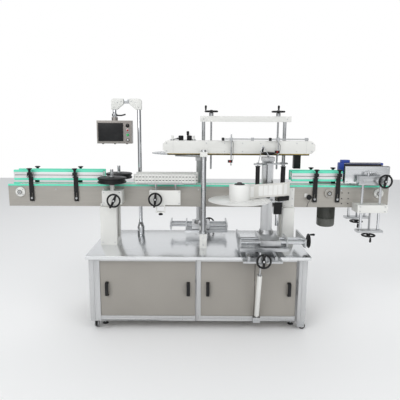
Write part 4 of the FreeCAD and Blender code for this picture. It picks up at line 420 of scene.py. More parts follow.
def ease(form, width, steps=2, over=30.0):
    """Round off the edges that are sharper than an angle, as a tool or a mould leaves them."""
    edges = [edge for edge in form.edges
             if len(edge.link_faces) == 2 and edge.calc_face_angle(0.0) > math.radians(over)]
    bmesh.ops.bevel(form, geom=edges, offset=width * MM, offset_type="OFFSET", affect="EDGES",
                    segments=steps, profile=0.5, clamp_overlap=True, material=-1)
    return form


def turning(outline, at=(0, 0, 0), along="Z", edge=0.6, steps=ROUND_STEPS, tone=0, ring=False):
    """A round piece: an outline of (radius, height) spun about its own height axis."""
    form = bmesh.new()
    line = [form.verts.new((radius * MM, 0.0, height * MM)) for radius, height in outline]
    pairs = list(zip(line, line[1:]))
    if ring:
        pairs.append((line[-1], line[0]))
    for start, end in pairs:
        form.edges.new((start, end))
    bmesh.ops.spin(form, geom=form.verts[:] + form.edges[:], cent=(0, 0, 0), axis=(0, 0, 1),
                   angle=math.tau, steps=steps, use_merge=True)
    bmesh.ops.remove_doubles(form, verts=form.verts[:], dist=WELD * MM)
    bmesh.ops.recalc_face_normals(form, faces=form.faces[:])
    if edge:
        ease(form, edge, 1 if steps < ROUND_STEPS else 2)
    return toned(placed(form, facing(at, along)), tone)


def bar(dia, length, at=(0, 0, 0), along="Z", edge=0.8, tone=0, steps=SMALL_STEPS):
    """A round bar with chamfered ends."""
    return turning([(0, 0), (dia / 2, 0), (dia / 2, length), (0, length)], at, along, edge, steps, tone)


def sleeve(bore, radius, length, at, along="Z", edge=0.8, tone=0, steps=ROUND_STEPS):
    """A round tube, from the radii of its bore and its outside."""
    return turning([(bore, 0), (radius, 0), (radius, length), (bore, length)], at, along, edge, steps,
                   tone, True)


def brick(low, high, edge=1.0, steps=2, tone=0):
    """A box between two corners with eased edges."""
    form = bmesh.new()
    bmesh.ops.create_cube(form, size=1.0)
    size = (Vector(high) - Vector(low)) * MM
    middle = (Vector(high) + Vector(low)) * 0.5 * MM
    placed(form, Matrix.Translation(middle) @ Matrix.Diagonal((*size, 1.0)))
    if edge:
        ease(form, edge, steps)
    return toned(form, tone)


def plate(corners, low, high, edge=1.0, steps=2, tone=0, laid=None):
    """A flat plate cut to an outline of (x, y) corners, between two levels."""
    form = bmesh.new()
    base = form.faces.new([form.verts.new((x * MM, y * MM, low * MM)) for x, y in corners])
    lifted = bmesh.ops.extrude_face_region(form, geom=[base])
    tops = [item for item in lifted["geom"] if isinstance(item, bmesh.types.BMVert)]
    bmesh.ops.translate(form, vec=(0.0, 0.0, (high - low) * MM), verts=tops)
    bmesh.ops.recalc_face_normals(form, faces=form.faces[:])
    if edge:
        ease(form, edge, steps)
    if laid is not None:
        bmesh.ops.recalc_face_normals(placed(form, laid), faces=form.faces[:])
    return toned(form, tone)


def islands(form):
    """The separate solids in a mesh, as sets of vertices."""
    waiting = set(form.verts)
    found = []
    while waiting:
        group = {waiting.pop()}
        reached = list(group)
        while reached:
            for edge in reached.pop().link_edges:
                for vert in edge.verts:
                    if vert in waiting:
                        waiting.discard(vert)
                        group.add(vert)
                        reached.append(vert)
        found.append(group)
    return found


def between(point, low, high):
    """Whether a point in metres lies between two corners given in millimetres."""
    return all(a <= c / MM <= b for a, c, b in zip(low, point, high))


def softened(node, width=0.8, steps=2, drop=(), paint=()):
    """A merged copy of a CAD sub-part with eased edges, without the solids that are made again."""
    form = bmesh.new()
    form.from_mesh(NODES[node].data)
    bmesh.ops.remove_doubles(form, verts=form.verts[:], dist=10 * WELD * MM)
    for group in islands(form):
        middle = sum((vert.co for vert in group), Vector()) / len(group)
        if any(between(middle, low, high) for low, high in drop):
            bmesh.ops.delete(form, geom=list(group), context="VERTS")
            continue
        for low, high, tone in paint:
            if between(middle, low, high):
                for face in {face for vert in group for face in vert.link_faces}:
                    face.material_index = tone
    bmesh.ops.dissolve_limit(form, angle_limit=math.radians(1.0), verts=form.verts[:],
                             edges=form.edges[:], delimit={"MATERIAL"})
    return ease(form, width, steps) if width else form


def painted(form, low, high, tone):
    """Give another finish to the faces whose middle lies between two corners in millimetres."""
    for face in form.faces:
        if between(face.calc_center_median(), low, high):
            face.material_index = tone
    return form


def finished(name, form, looks, node):
    """Write a shape to an object at the origin and let it ride and stand for its CAD sub-part."""
    mesh = bpy.data.meshes.new(name)
    form.to_mesh(mesh)
    form.free()
    for look in looks:
        mesh.materials.append(look)
    mesh.shade_smooth()
    mesh.set_sharp_from_angle(angle=math.radians(38.0))
    piece = bpy.data.objects.new(name, mesh)
    bpy.context.scene.collection.objects.link(piece)
    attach(piece, BODY_OF[node])
    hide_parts(node)
    print(f"{name}: {len(mesh.polygons)} faces on {BODY_OF[node]}")


print("helpers for", len(LAID), "directions")


# %% [markdown]
# A machine like this is held together by hundreds of bought parts: cap screws, star knobs,
# clamping levers, round-headed clamping knobs. Each is described once. A cap screw is a short
# drum with a sunk socket; a star knob is a drum whose rim is pushed in and out five times; a
# lever is a hub with a leaning arm.

# %% Helpers: bought parts
def screw(at, along="Z", dia=9.0, high=4.0, tone=1):
    """A cap screw's head with its socket."""
    form = bmesh.new()
    bmesh.ops.create_cone(form, cap_ends=True, segments=12, radius1=dia / 2 * MM, radius2=dia / 2 * MM,
                          depth=high * MM)
    bmesh.ops.translate(form, vec=(0, 0, high / 2 * MM), verts=form.verts[:])
    top = max(form.faces, key=lambda face: face.calc_center_median().z)
    bmesh.ops.inset_individual(form, faces=[top], thickness=dia * 0.22 * MM, depth=0.0)
    bmesh.ops.inset_individual(form, faces=[top], thickness=dia * 0.02 * MM, depth=-high * 0.45 * MM)
    return toned(placed(form, facing(at, along)), tone)


def screws(places, along="Z", dia=9.0, high=4.0, tone=1):
    """The same screw at several places."""
    return gather(*[screw(at, along, dia, high, tone) for at in places])


def star_knob(at, along, tone, stem):
    """A five-lobed clamping knob on its collar, with a steel insert."""
    dia, high, lobes, swell = 34.0, 12.0, 5, 0.10
    form = bmesh.new()
    bmesh.ops.create_cone(form, cap_ends=True, segments=MEDIUM_STEPS, radius1=dia / 2 * MM,
                          radius2=dia * 0.46 * MM, depth=high * MM)
    bmesh.ops.translate(form, vec=(0, 0, (stem + high / 2) * MM), verts=form.verts[:])
    for vert in form.verts:
        wave = 0.95 + swell * math.cos(lobes * math.atan2(vert.co.y, vert.co.x))
        vert.co.x *= wave
        vert.co.y *= wave
    placed(ease(form, 2.0), facing(at, along))
    collar = turning([(0, 0), (dia * 0.27, 0), (dia * 0.30, stem + 1), (0, stem + 1)], at, along, 0.5,
                     SMALL_STEPS, tone)
    insert = turning([(dia * 0.13, stem + high - 1.5), (dia * 0.13, stem + high + 0.8),
                      (0, stem + high + 0.8)], at, along, 0.3, 12, 1)
    return gather(toned(form, tone), collar, insert)


def cap_knob(at, high, tone):
    """A round clamping knob: a waisted stem under a broad domed cap with a finger-gripped rim."""
    dia = 34.0
    return turning([(0, 0), (dia * 0.30, 0), (dia * 0.24, high * 0.22), (dia * 0.28, high * 0.42),
                    (dia * 0.48, high * 0.48), (dia * 0.5, high * 0.56), (dia * 0.5, high * 0.8),
                    (dia * 0.46, high * 0.9), (dia * 0.3, high * 0.98), (0, high)], at, edge=0.4, tone=tone)


def lever(at, out, length, lift, tone):
    """An upright clamping lever: a hub on a screw, and an arm that leans away and swells."""
    hub = turning([(0, 0), (9, 0), (9, 6), (11, 8), (11, 24), (7, 30), (0, 30)], at, "Z", 0.8,
                  SMALL_STEPS, tone)
    start = Vector(at) + Vector((0, 0, 22))
    reach = Vector(out).normalized() * length + Vector((0, 0, lift))
    arm = turning([(0, 0), (4.5, 0), (4.2, length * 0.35), (6.5, length * 0.85), (6.8, length * 0.95),
                   (5.0, length), (0, length)], start, tuple(reach), 0.8, SMALL_STEPS, tone)
    return gather(hub, arm)


def bent_rod(points, dia, bend, tone):
    """A round rod or cable that runs through points in millimetres with rounded corners."""
    corners = [Vector(point) * MM for point in points]
    line = [corners[0]]
    for before, here, after in zip(corners, corners[1:], corners[2:]):
        near = here + (before - here).normalized() * min(bend * MM, (before - here).length * 0.45)
        far = here + (after - here).normalized() * min(bend * MM, (after - here).length * 0.45)
        for share in (0.0, 0.2, 0.4, 0.6, 0.8, 1.0):
            line.append(near.lerp(here, share).lerp(here.lerp(far, share), share))
    line.append(corners[-1])
    curve = bpy.data.curves.new("rod_line", "CURVE")
    curve.dimensions = "3D"
    curve.bevel_depth = dia / 2 * MM
    curve.bevel_resolution = 3
    curve.use_fill_caps = True
    spline = curve.splines.new("POLY")
    spline.points.add(len(line) - 1)
    for point, co in zip(spline.points, line):
        point.co = (*co, 1.0)
    holder = bpy.data.objects.new("rod_line", curve)
    mesh = bpy.data.meshes.new_from_object(holder)
    form = bmesh.new()
    form.from_mesh(mesh)
    bmesh.ops.remove_doubles(form, verts=form.verts[:], dist=WELD * MM)
    bpy.data.objects.remove(holder)
    bpy.data.curves.remove(curve)
    bpy.data.meshes.remove(mesh)
    bmesh.ops.recalc_face_normals(form, faces=form.faces[:])
    return toned(form, tone)


# %% [markdown]
# Ten handwheels move the slides. On the real ones the rim is a round black moulding with a
# bright centre cap, two arms and a turning grip that stands up from the rim. The rim is a
# small ring outline spun about the hub. The screw behind it is a trapezoidal thread: a tooth
# outline spun twelve steps to the turn, with a rise of one pitch, which leaves a true helix.

# %% Handwheels and lead screws
WHEEL_RADIUS, RIM, HUB_RADIUS, ARM_HALF, GRIP_LONG, GRIP_DIA = 54.0, 14.0, 13.0, 8.0, 46.0, 17.0
SCREW_DIA, SCREW_PITCH, TURN_STEPS = 16.0, 4.0, 12


def thread(length, start):
    """A lead screw from the wheel's centre back along its axis, with a helical thread."""
    core = bar(SCREW_DIA * 0.78, length, along="-Z", edge=0, tone=1)
    turns = int((length - start - SCREW_PITCH) / SCREW_PITCH)
    root, crest = SCREW_DIA * 0.38, SCREW_DIA * 0.5 - 0.1
    ridge = bmesh.new()
    line = [ridge.verts.new((radius * MM, 0.0, (-start - height) * MM))
            for radius, height in ((root, 0.0), (crest, 0.9), (crest, 2.2), (root, 3.1))]
    for a, b in zip(line, line[1:]):
        ridge.edges.new((a, b))
    bmesh.ops.spin(ridge, geom=ridge.verts[:] + ridge.edges[:], cent=(0, 0, 0), axis=(0, 0, 1),
                   dvec=(0, 0, -SCREW_PITCH / TURN_STEPS * MM), angle=math.tau * turns,
                   steps=TURN_STEPS * turns)
    bmesh.ops.holes_fill(ridge, edges=[edge for edge in ridge.edges if edge.is_boundary], sides=4)
    bmesh.ops.recalc_face_normals(ridge, faces=ridge.faces[:])
    return gather(core, toned(ridge, 1))


def handwheel(screw_long, thread_from):
    """A two-armed handwheel with its grip and lead screw, its axis along Z."""
    rim_half = RIM / 2
    rim_mid = WHEEL_RADIUS - rim_half
    angles = [k * math.tau / 14 for k in range(14)]
    rim = turning([(rim_mid + rim_half * math.cos(a), rim_half * math.sin(a)) for a in angles], edge=0,
                  steps=FINE_STEPS, ring=True)
    hub = turning([(0, -11.2), (HUB_RADIUS, -11.2), (HUB_RADIUS, 8), (HUB_RADIUS * 0.7, 11.2), (0, 11.2)],
                  edge=0.8)
    cover = bar(HUB_RADIUS * 1.1, 1.4, (0, 0, 11.0), edge=0.4, tone=2)
    arms = plate([(-rim_mid, -ARM_HALF), (0, -ARM_HALF * 1.35), (rim_mid, -ARM_HALF), (rim_mid, ARM_HALF),
                  (0, ARM_HALF * 1.35), (-rim_mid, ARM_HALF)], -3.6, 3.6, edge=1.8)
    pin = bar(9, 12, (rim_mid, 0, 0), edge=0.4, tone=1)
    grip = turning([(0, 9), (GRIP_DIA * 0.33, 9), (GRIP_DIA * 0.38, 16), (GRIP_DIA * 0.5, GRIP_LONG * 0.72),
                    (GRIP_DIA * 0.5, GRIP_LONG * 0.86), (GRIP_DIA * 0.36, GRIP_LONG), (0, GRIP_LONG)],
                   (rim_mid, 0, 0), "Z", 1.2, SMALL_STEPS)
    return gather(rim, hub, cover, arms, pin, grip, thread(screw_long, thread_from))


WHEEL_LEVEL = 612.0
SLIDE_LEVEL = 676.0
WHEELS = {  # the place, the axis, the turn in degrees, the screw's length and where its thread starts
    "separator_handwheel": ((-638, -236, 966), "-Y", 246, 75, 12),
    "guide_chain_handwheel": ((-327, -222, 974), "-Y", 265, 127, 14),
    "lift_handwheel_left": ((98, 45, 1636), "Z", 200, 454, 84),
    "lift_handwheel_right": ((627, 45, 1636), "Z", 262, 454, 84),
    "handwheel_across": ((450, -596, WHEEL_LEVEL), "-Y", 90, 405, 58),
    "handwheel_along": ((828, -281, SLIDE_LEVEL), "X", 180, 403, 50),
    "handwheel_height": ((530, -118, 1320), "Z", 200, 58, 20),
    "wrap_handwheel_front": ((1331, -140, 686), "-Z", 90, 246, 48),
    "wrap_handwheel_rear": ((1331, 140, 736), "-Z", 90, 196, 48),
    "wrap_handwheel_across": ((1408, -205, 1117), "-Y", 80, 70, 14),
}
for wheel, (at, along, turn, screw_long, thread_from) in WHEELS.items():
    wheel_form = handwheel(screw_long, thread_from)
    if wheel.startswith("lift"):
        wheel_form = gather(wheel_form, sleeve(SCREW_DIA / 2, 17, 24.7, (0, 0, -35.7), tone=1))
    finished(wheel + "_form", placed(wheel_form, facing(at, along, turn)), (BLACK, STEEL, ALUMINIUM), wheel)

# %% [markdown]
# The bench is a folded stainless sheet over a cabinet of slotted aluminium bars. The CAD solids
# already have their places, so each is copied, merged and given rounded edges: a fold of sheet
# keeps a soft edge, an extruded bar a small crisp one.

# %% Table and cabinet
finished("table_sheet", softened("table_top", 2.4, 3), (STAINLESS,), "table_top")

FEET = [(x, y) for x in (-700, 700) for y in (-360, 360)]
cabinet = [softened("cabinet_frame", 0.7,
                    drop=[((x - 25, y - 25, 40), (x + 25, y + 25, 74)) for x, y in FEET],
                    paint=[((-900, -500, 70), (900, 500, 76), 1)]),
           screws(spots((-788, -748, 0, 748, 788), (-379.6,), (95, 561)), "-Y", 8, 0.4)]
for x, y in FEET:
    cabinet += [bar(14, 20, (x, y, 55), edge=0.3, tone=1),
                turning([(0, 0), (22.5, 0), (22.5, 4), (13.5, 9.5), (9, 12), (0, 12)], (x, y, 48), edge=0.8,
                        tone=2),
                sleeve(7.5, 12, 6.5, (x, y, 67), edge=0.5, tone=1, steps=HEX_STEPS)]
finished("cabinet_bars", gather(*cabinet), (ALUMINIUM, STEEL, BLACK), "cabinet_frame")

# %% [markdown]
# The front panels are painted sheet that hangs between the bars, with broad black handles. The
# handle is drawn from the side, as a bow with two legs, and padded out to its width; the bevel
# then gives it the soft moulded edges.

# %% Panels and bow handles
PANEL_FACE, PULL_MIDDLE = -376.0, 328.0
PULL_HALF, PULL_REACH, PULL_SIDE = 55.0, 31.0, 12.5
UPRIGHT = Matrix(((0, 0, 1, 0), (0, -1, 0, 0), (1, 0, 0, 0), (0, 0, 0, 1)))


def bow_handle(x):
    """A broad moulded handle that stands upright on a panel's face, with a screw cap at each end."""
    half = [(PULL_HALF - 12, PULL_REACH), (PULL_HALF - 6, PULL_REACH - 3), (PULL_HALF, 0),
            (PULL_HALF - 14, 0), (PULL_HALF - 19, PULL_REACH - 11)]
    profile = half + [(-across, out) for across, out in reversed(half)]
    bow = plate(profile, -PULL_SIDE, PULL_SIDE, 3.2, 3, 1,
                Matrix.Translation(Vector((x, PANEL_FACE, PULL_MIDDLE)) * MM) @ UPRIGHT)
    caps = [turning([(0, 0), (4.5, 0), (4.5, 1.2), (3.4, 1.8), (0, 1.8)],
                    (x, PANEL_FACE - PULL_REACH + 1.2, PULL_MIDDLE + shift), "-Y", 0.3, SMALL_STEPS, 1)
            for shift in (-40, 40)]
    return gather(bow, *caps)


for panel, pulls in (("front_panel_left", (-675.7, -72.3)), ("front_panel_right", (72.3,)),
                     ("cabinet_panels", (675.7,))):
    skin = softened(panel, 0.6, drop=[((-800, -420, 250), (800, -379, 400))])
    finished(panel + "_form", gather(skin, *[bow_handle(x) for x in pulls]), (PANEL, BLACK), panel)

# %% [markdown]
# Each caster is a pressed fork under a swivel plate, and a wheel with a rubber tread on a grey
# hub. The tread outline is spun about the axle; the fork keeps its CAD shape with rounded edges
# and gains a nut at each end of the axle.

# %% Casters
CASTER_X, CASTER_Y, AXLE_LEVEL, TRAIL = 770.0, 342.0, 25.0, 22.0
for end, back in (("front", -1), ("rear", 1)):
    for hand, side in (("left", -1), ("right", 1)):
        if side < 0:
            along, centre = "X", (side * CASTER_X, back * CASTER_Y + TRAIL, AXLE_LEVEL)
        else:
            along, centre = "Y", (side * CASTER_X + TRAIL, back * CASTER_Y, AXLE_LEVEL)
        nuts = [turning([(0, 12.8), (6.5, 12.8), (6.5, 16.3), (3.5, 16.9), (0, 16.9)], centre, out, 0.4,
                        HEX_STEPS, 1) for out in ("-" + along, along)]
        tread = turning([(17, -9.6), (21.5, -10), (24.2, -8), (25, -4), (25, 4), (24.2, 8), (21.5, 10),
                         (17, 9.6)], centre, along, 0, ring=True)
        hub = turning([(4.1, -8), (8, -8), (9, -5), (16, -5), (17.2, -8.6), (17.2, 8.6), (16, 5), (9, 5),
                       (8, 8), (4.1, 8)], centre, along, 0.4, tone=1, ring=True)
        fork, wheel = f"caster_fork_{end}_{hand}", f"caster_wheel_{end}_{hand}"
        finished(fork + "_form", gather(softened(fork), *nuts), (STEEL, CHROME), fork)
        finished(wheel + "_form", gather(tread, hub), (RUBBER, BOX_PAINT), wheel)

# %% [markdown]
# The conveyor is two tall painted plates, tied across by round bars, with teal wear strips on
# their top edges. Each shaft runs in a white flanged bearing with four screws and a small black
# cap. Screw heads mark where the tie bars end, as on the real plates. Six dark ones hold the wrap
# station, and a knob with a ball head sits beside its small white plate near the front label head.

# %% Conveyor plates, bearings and wear strips
SHAFT_LEVEL, PLATE_FACE = 1004.0, 57.0
SHAFTS = {"inlet_shaft": -1405.0, "drive_shaft": 1030.0, "outlet_shaft": 1420.0}
BOLT_SHIFT = 30 * math.sqrt(0.5)
SENSOR_AT = (868.0, -PLATE_FACE, 975.0)

conveyor = [softened("conveyor_frame", 0.6,
                     drop=[((x - 45, side * 68 - 12, 960), (x + 45, side * 68 + 12, 1048))
                           for x in SHAFTS.values() for side in (-1, 1)])]
for name, x in SHAFTS.items():
    for side, out in SIDES:
        if name == "drive_shaft" and side > 0:
            continue
        face = (x, side * PLATE_FACE, SHAFT_LEVEL)
        conveyor += [
            turning([(10.1, 0), (38, 0), (38, 9), (34, 12), (22, 12), (21, 17), (18.5, 20.4), (10.1, 20.4)],
                    face, out, 0.8, tone=0 if name == "drive_shaft" else 1, ring=True),
            turning([(13, 20.2), (17.6, 20.2), (17.0, 21.6), (13, 21.6)], face, out, 0.3, tone=2, ring=True),
            screws(spots((x - BOLT_SHIFT, x + BOLT_SHIFT), (side * (PLATE_FACE + 10.6),),
                         (SHAFT_LEVEL - BOLT_SHIFT, SHAFT_LEVEL + BOLT_SHIFT)), out, 8, 4, 3)]
for side, out in SIDES:
    conveyor.append(screws(spots(range(-1125, 1126, 375), (side * PLATE_FACE,), (SHAFT_LEVEL + 22.4,)), out,
                           11, 3.6, 3))
conveyor += [
    screws(spots((1133, 1184), (-PLATE_FACE,), (922, 961, 1007)), "-Y", 9, 3, 2),
    brick((836, -PLATE_FACE - 8, 971), (860, -PLATE_FACE + 0.4, 1001), 2.0, 3, 1),
    turning([(0, 0), (9, 0), (9, 8), (6, 9), (6, 13), (0, 13)], SENSOR_AT, "-Y", 0.6, 32, 3),
    turning([(0, 10), (9, 11.4), (16, 15.5), (20, 22), (21, 28), (19.5, 35), (14.5, 40.6), (7.5, 43.4),
             (0, 44)], SENSOR_AT, "-Y", 0.8, MEDIUM_STEPS, 2),
    bent_rod([(872, -78, 958), (873, -78, 940), (866, -62, 922), (861, -60.5, 893)], 3.4, 8.0, 2)]
finished("conveyor_plates", gather(*conveyor), (PLATE, WHITE_PLASTIC, BLACK, STEEL), "conveyor_frame")
finished("wear_strip_pair", softened("wear_strips", 1.4, 3), (TEAL,), "wear_strips")


# %% [markdown]
# The slat chain is a run of flat plastic plates, each hinged to the next by knuckles and a pin.
# One plate is modelled with few faces, then laid 158 times along the loop: straight on the two
# runs, and turned about the sprockets at the ends.

# %% Slat chain
def loop_point(along, half, radius):
    """The place and the heading on a loop with two straight runs, from the distance run round it."""
    for side, heading in ((-1, 0.0), (1, math.pi)):
        if along < 2 * half:
            return -side * (along - half), side * radius, heading
        along -= 2 * half
        if along < math.pi * radius or side > 0:
            turned = along / radius
            return (-side * (half + radius * math.sin(turned)), side * radius * math.cos(turned),
                    heading + turned)
        along -= math.pi * radius


CHAIN_MIDDLE, CHAIN_HALF, LOOP_RADIUS, CHAIN_SIDE = 7.5, 1412.5, 58.0, 41.25
SLATS = 158
SLAT_PITCH = (4 * CHAIN_HALF + math.tau * LOOP_RADIUS) / SLATS
SLAT_HALF = SLAT_PITCH / 2 - 0.7

slat = gather(brick((-SLAT_HALF, -CHAIN_SIDE, -2), (SLAT_HALF, CHAIN_SIDE, 2), 0.8, 1),
              brick((-SLAT_HALF * 0.5, -18, -9), (SLAT_HALF * 0.5, 18, -1.8), 2.0, 1),
              bar(5, 44, (SLAT_HALF * 0.9, -22, -4.6), "Y", 0, 1, 8))
slat_places = []
for k in range(SLATS):
    run, rise, slope = loop_point(k * SLAT_PITCH, CHAIN_HALF, LOOP_RADIUS)
    slat_places.append(Matrix.Translation(((CHAIN_MIDDLE + run) * MM, 0, (SHAFT_LEVEL - rise) * MM))
                       @ Matrix.Rotation(slope, 4, "Y"))
finished("slat_chain", repeated(slat, slat_places), (WHITE_PLASTIC, STEEL), "conveyor_chain")

for shaft, x in SHAFTS.items():
    ends = [bar(6.4, 1.2, (x, side * 81, SHAFT_LEVEL), out, 0.2, 1, 12) for side, out in SIDES]
    finished(shaft + "_form", gather(softened(shaft, 0.6), *ends), (STEEL, BLACK), shaft)

# %% [markdown]
# The gearmotor hangs behind the conveyor plate. Its cast case has generous radii, and the motor
# below carries thin cooling ribs along its length, a terminal box and a fan cover with a slotted
# end. The ribs are one thin box, turned about the motor's axis again and again.

# %% Gearmotor
MOTOR_X, MOTOR_Y, GEAR_LOW, MOTOR_TOP, MOTOR_LOW = 1070.0, 136.0, 939.0, 913.0, 768.0
BEHIND_THE_BOX = (8, 9, 10)
rib_places = [facing((MOTOR_X, MOTOR_Y, MOTOR_LOW), "Z", 10 * k)
              for k in range(36) if k not in BEHIND_THE_BOX]
motor = gather(
    brick((970, 71, GEAR_LOW), (1130, 201, 1069), 12.0, 4),
    turning([(10.1, 0), (38, 0), (38, 14), (34, 15), (10.1, 15)],
            (SHAFTS["drive_shaft"], PLATE_FACE, SHAFT_LEVEL), "Y", 0.8, ring=True),
    turning([(0, 0), (52, 0), (54, 8), (70, 20), (73, 26), (0, 26)], (MOTOR_X, MOTOR_Y, GEAR_LOW), "-Z", 1.5),
    bar(128, 145, (MOTOR_X, MOTOR_Y, MOTOR_TOP), "-Z", 1.0, steps=ROUND_STEPS),
    repeated(brick((62, -1.1, 2), (73, 1.1, 143), 0.6, 1), rib_places),
    turning([(0, 70), (14, 70), (14, 68), (60, 68), (66, 66), (71, 60), (73, 52), (73, 1), (70, 0), (0, 0)],
            (MOTOR_X, MOTOR_Y, MOTOR_LOW), "-Z", 0.8),
    *[sleeve(radius, radius + 4, 2.6, (MOTOR_X, MOTOR_Y, MOTOR_LOW - 67), "-Z", 0.4)
      for radius in range(18, 55, 9)],
    brick((1033.5, 198, 827), (1106.5, 230, 900), 4.0, 3),
    brick((1036.5, 227, 830), (1103.5, 230, 897)),
    screws(spots((1045.5, 1094.5), (229,), (839, 888)), "Y", 6, 1),
    screws(spots((986, 1114), (71.4,), (955, 1053)), "-Y", 11),
    turning([(0, 0), (9, 0), (9, 5), (6, 8), (0, 8)], (1000, 150, 1068), "Z", 0.6, SMALL_STEPS, 2))
finished("gearmotor", motor, (MOTOR_PAINT, STEEL, BLACK), "conveyor_motor")

# %% [markdown]
# Two welded stands carry the conveyor above the bench. Their plates stay as in the CAD model,
# with eased edges, and the cheeks are held by pairs of screws.

# %% Conveyor stands
stands = [softened("conveyor_stands", 1.6, 3)]
for middle, half, levels in ((-711, 48, (899, 908)), (711, 30, (905, 960, 1030))):
    for side, out in SIDES:
        pair = (middle - half, middle + half)
        stands += [screws(spots(pair, (side * 65,), levels), out),
                   screws(spots(pair, (side * 95,), (605,)), out, high=2.5)]
finished("stand_pair", gather(*stands), (LIGHT_PAINT, STEEL), "conveyor_stands")

# %% [markdown]
# The guide rails are aluminium strips with rounded teal beads above and below, which the product
# runs along. They hang on rods from black moulded arms; a slot lets each arm move up and down
# behind its screw, and a round knob clamps each rod.

# %% Guide rails and their arms
RAIL_RUNS = ((-1450, -750), (730, 1132))
ARMS_AT = (-1314, -963, 917, 1096)
ROD_LEVEL, ARM_SCREW_LEVEL = 1137.5, 956.0
RAIL_STRIPS = (  # how much shorter at each end, from and to across the lane, from and to in height
    ((0, 49, 58, 1114, 1161), 0.8, 2, 1),
    ((1, 57.6, 58.6, 1123.5, 1126.5), 0.3, 1, 1),
    ((1, 57.6, 58.6, 1149.5, 1152.5), 0.3, 1, 1),
    ((8, 57.6, 58.3, 1135.5, 1139.5), 0.2, 1, 3),
    ((0, 40, 58, 1097, 1115), 4.5, 4, 0),
    ((0, 40, 58, 1160, 1178), 4.5, 4, 0))


def along_rail(side, left, right, strip, edge, steps, tone):
    """A box along a rail on the front (-1) or the rear (1) side."""
    shorter, inner, outer, low, high = strip
    near, far = sorted((side * inner, side * outer))
    return brick((left + shorter, near, low), (right - shorter, far, high), edge, steps, tone)


for rail, (side, out) in zip(("guide_rail_front", "guide_rail_rear"), SIDES):
    parts = [bar(12, 91.8, (x, side * 58, ROD_LEVEL), out, 1.0, 2) for x in ARMS_AT]
    for left, right in RAIL_RUNS:
        parts += [along_rail(side, left, right, *strip) for strip in RAIL_STRIPS]
        parts += [along_rail(side, x, x + 5, (0, 41, 57.5, 1099, 1176), 1.5, 2, 0) for x in (left, right - 5)]
    finished(rail + "_form", gather(*parts), (TEAL, RAIL_METAL, CHROME, BLACK), rail)

arms = [softened("rail_brackets", 1.2, drop=[((-1400, -140, 1159), (1200, 140, 1190))])]
for side, out in SIDES:
    arms.append(screws(spots(ARMS_AT, (side * 69.8,), (ARM_SCREW_LEVEL,)), out, 13, 4.5))
    for x in ARMS_AT:
        arms += [turning([(0, 0), (10.5, 0), (8.5, 9), (9.5, 19), (15, 26), (20.5, 28.5), (21, 31),
                          (20, 34.6), (12, 36), (0, 36)], (x, side * 90, ROD_LEVEL + 21), edge=0.4),
                 sleeve(3, 8.5, 1.4, (x, side * 69.6, ARM_SCREW_LEVEL), out, 0.3, 1, SMALL_STEPS)]
finished("rail_arms", gather(*arms), (BLACK, STEEL), "rail_brackets")

# %% [markdown]
# The bottle separator is a pair of thick black discs whose grooved rims push the bottles apart.
# Each disc's outline, with the groove and the shaft end above it, is spun about its axis. A
# silver tube stands on a light box that is screwed to the conveyor.

# %% Separator discs
DISC_STEPS = 96
for disc, side in (("separator_wheel_front", -1), ("separator_wheel_rear", 1)):
    x, y = -662, side * 152
    grooved = turning([(0, -14), (23, -14), (23, 0), (100, 0), (106, 2), (109, 7), (109, 12), (102, 17),
                       (100, 22.5), (102, 28), (109, 33), (109, 38), (106, 43), (100, 45), (40, 45),
                       (36, 46.5), (19.2, 46.5), (0, 46.5)], (x, y, 1090.3), "Z", 1.0, DISC_STEPS)
    form = gather(grooved, sleeve(12, 19.2, 8.5, (x, y, 1136.8), tone=1, steps=HEX_STEPS),
                  turning([(0, 0), (12, 0), (12, 54), (10.5, 58.5), (0, 58.5)], (x, y, 1136.5), tone=1),
                  bar(24, 131, (x, y, 944.4), edge=0.6, tone=1),
                  screws(around(x, y, 1136.2, 29, 20), dia=6, high=2.6))
    finished(disc + "_form", form, (BLACK, STEEL), disc)

# %% [markdown]
# Between the separator and the gantry, two guide chains steer the bottles. A guide chain is a
# flat loop of tall white links around two pulleys, and each link carries two black wear pads.
# One link is made and laid along the loop, seen from above.

# %% Guide chains
LANE_MIDDLE, LANE_HALF, LANE_RADIUS, LANE_LOW, LANE_HIGH = -255.0, 225.0, 21.0, 1085.0, 1151.0
LANE_LINKS = 40
LINK_PITCH = (4 * LANE_HALF + math.tau * LANE_RADIUS) / LANE_LINKS
LINK_HALF = LINK_PITCH / 2 - 0.6

for chain, side in (("guide_chain_front", -1), ("guide_chain_rear", 1)):
    middle = side * 77
    link = gather(brick((-LINK_HALF, -3.4, LANE_LOW + 0.5), (LINK_HALF, 3.6, LANE_HIGH), 1.0, 1),
                  *[brick((-LINK_HALF * 0.62, -4.0, level), (LINK_HALF * 0.62, -2.6, level + 5), 0.3, 1, 2)
                    for level in (LANE_LOW + 17, LANE_LOW + 44)])
    link_places = []
    for k in range(LANE_LINKS):
        x, y, heading = loop_point(k * LINK_PITCH, LANE_HALF, LANE_RADIUS)
        link_places.append(facing((LANE_MIDDLE + x, middle + y, 0), "Z", math.degrees(heading)))
    caps = [turning([(0, 0), (14, 0), (14, 3), (9, 3.6), (0, 3.6)], (x, middle, LANE_HIGH - 4), "Z", 0.5,
                    tone=1) for x in (LANE_MIDDLE - LANE_HALF, LANE_MIDDLE + LANE_HALF)]
    lane = gather(toned(softened(chain, drop=[((-400, -200, 1090), (0, 200, 1152))]), 1),
                  brick((LANE_MIDDLE - LANE_HALF, middle - 19, LANE_LOW + 1),
                        (LANE_MIDDLE + LANE_HALF, middle + 19, LANE_HIGH - 3), 1.0, 1, 1),
                  repeated(link, link_places), *caps)
    finished(chain + "_form", lane, (WHITE_PLASTIC, STEEL, BLACK), chain)

# %% [markdown]
# The brackets of these devices are light painted blocks and plates on the conveyor's sides. The
# clamp that locks the guide chains is a yoke with a star knob below it.

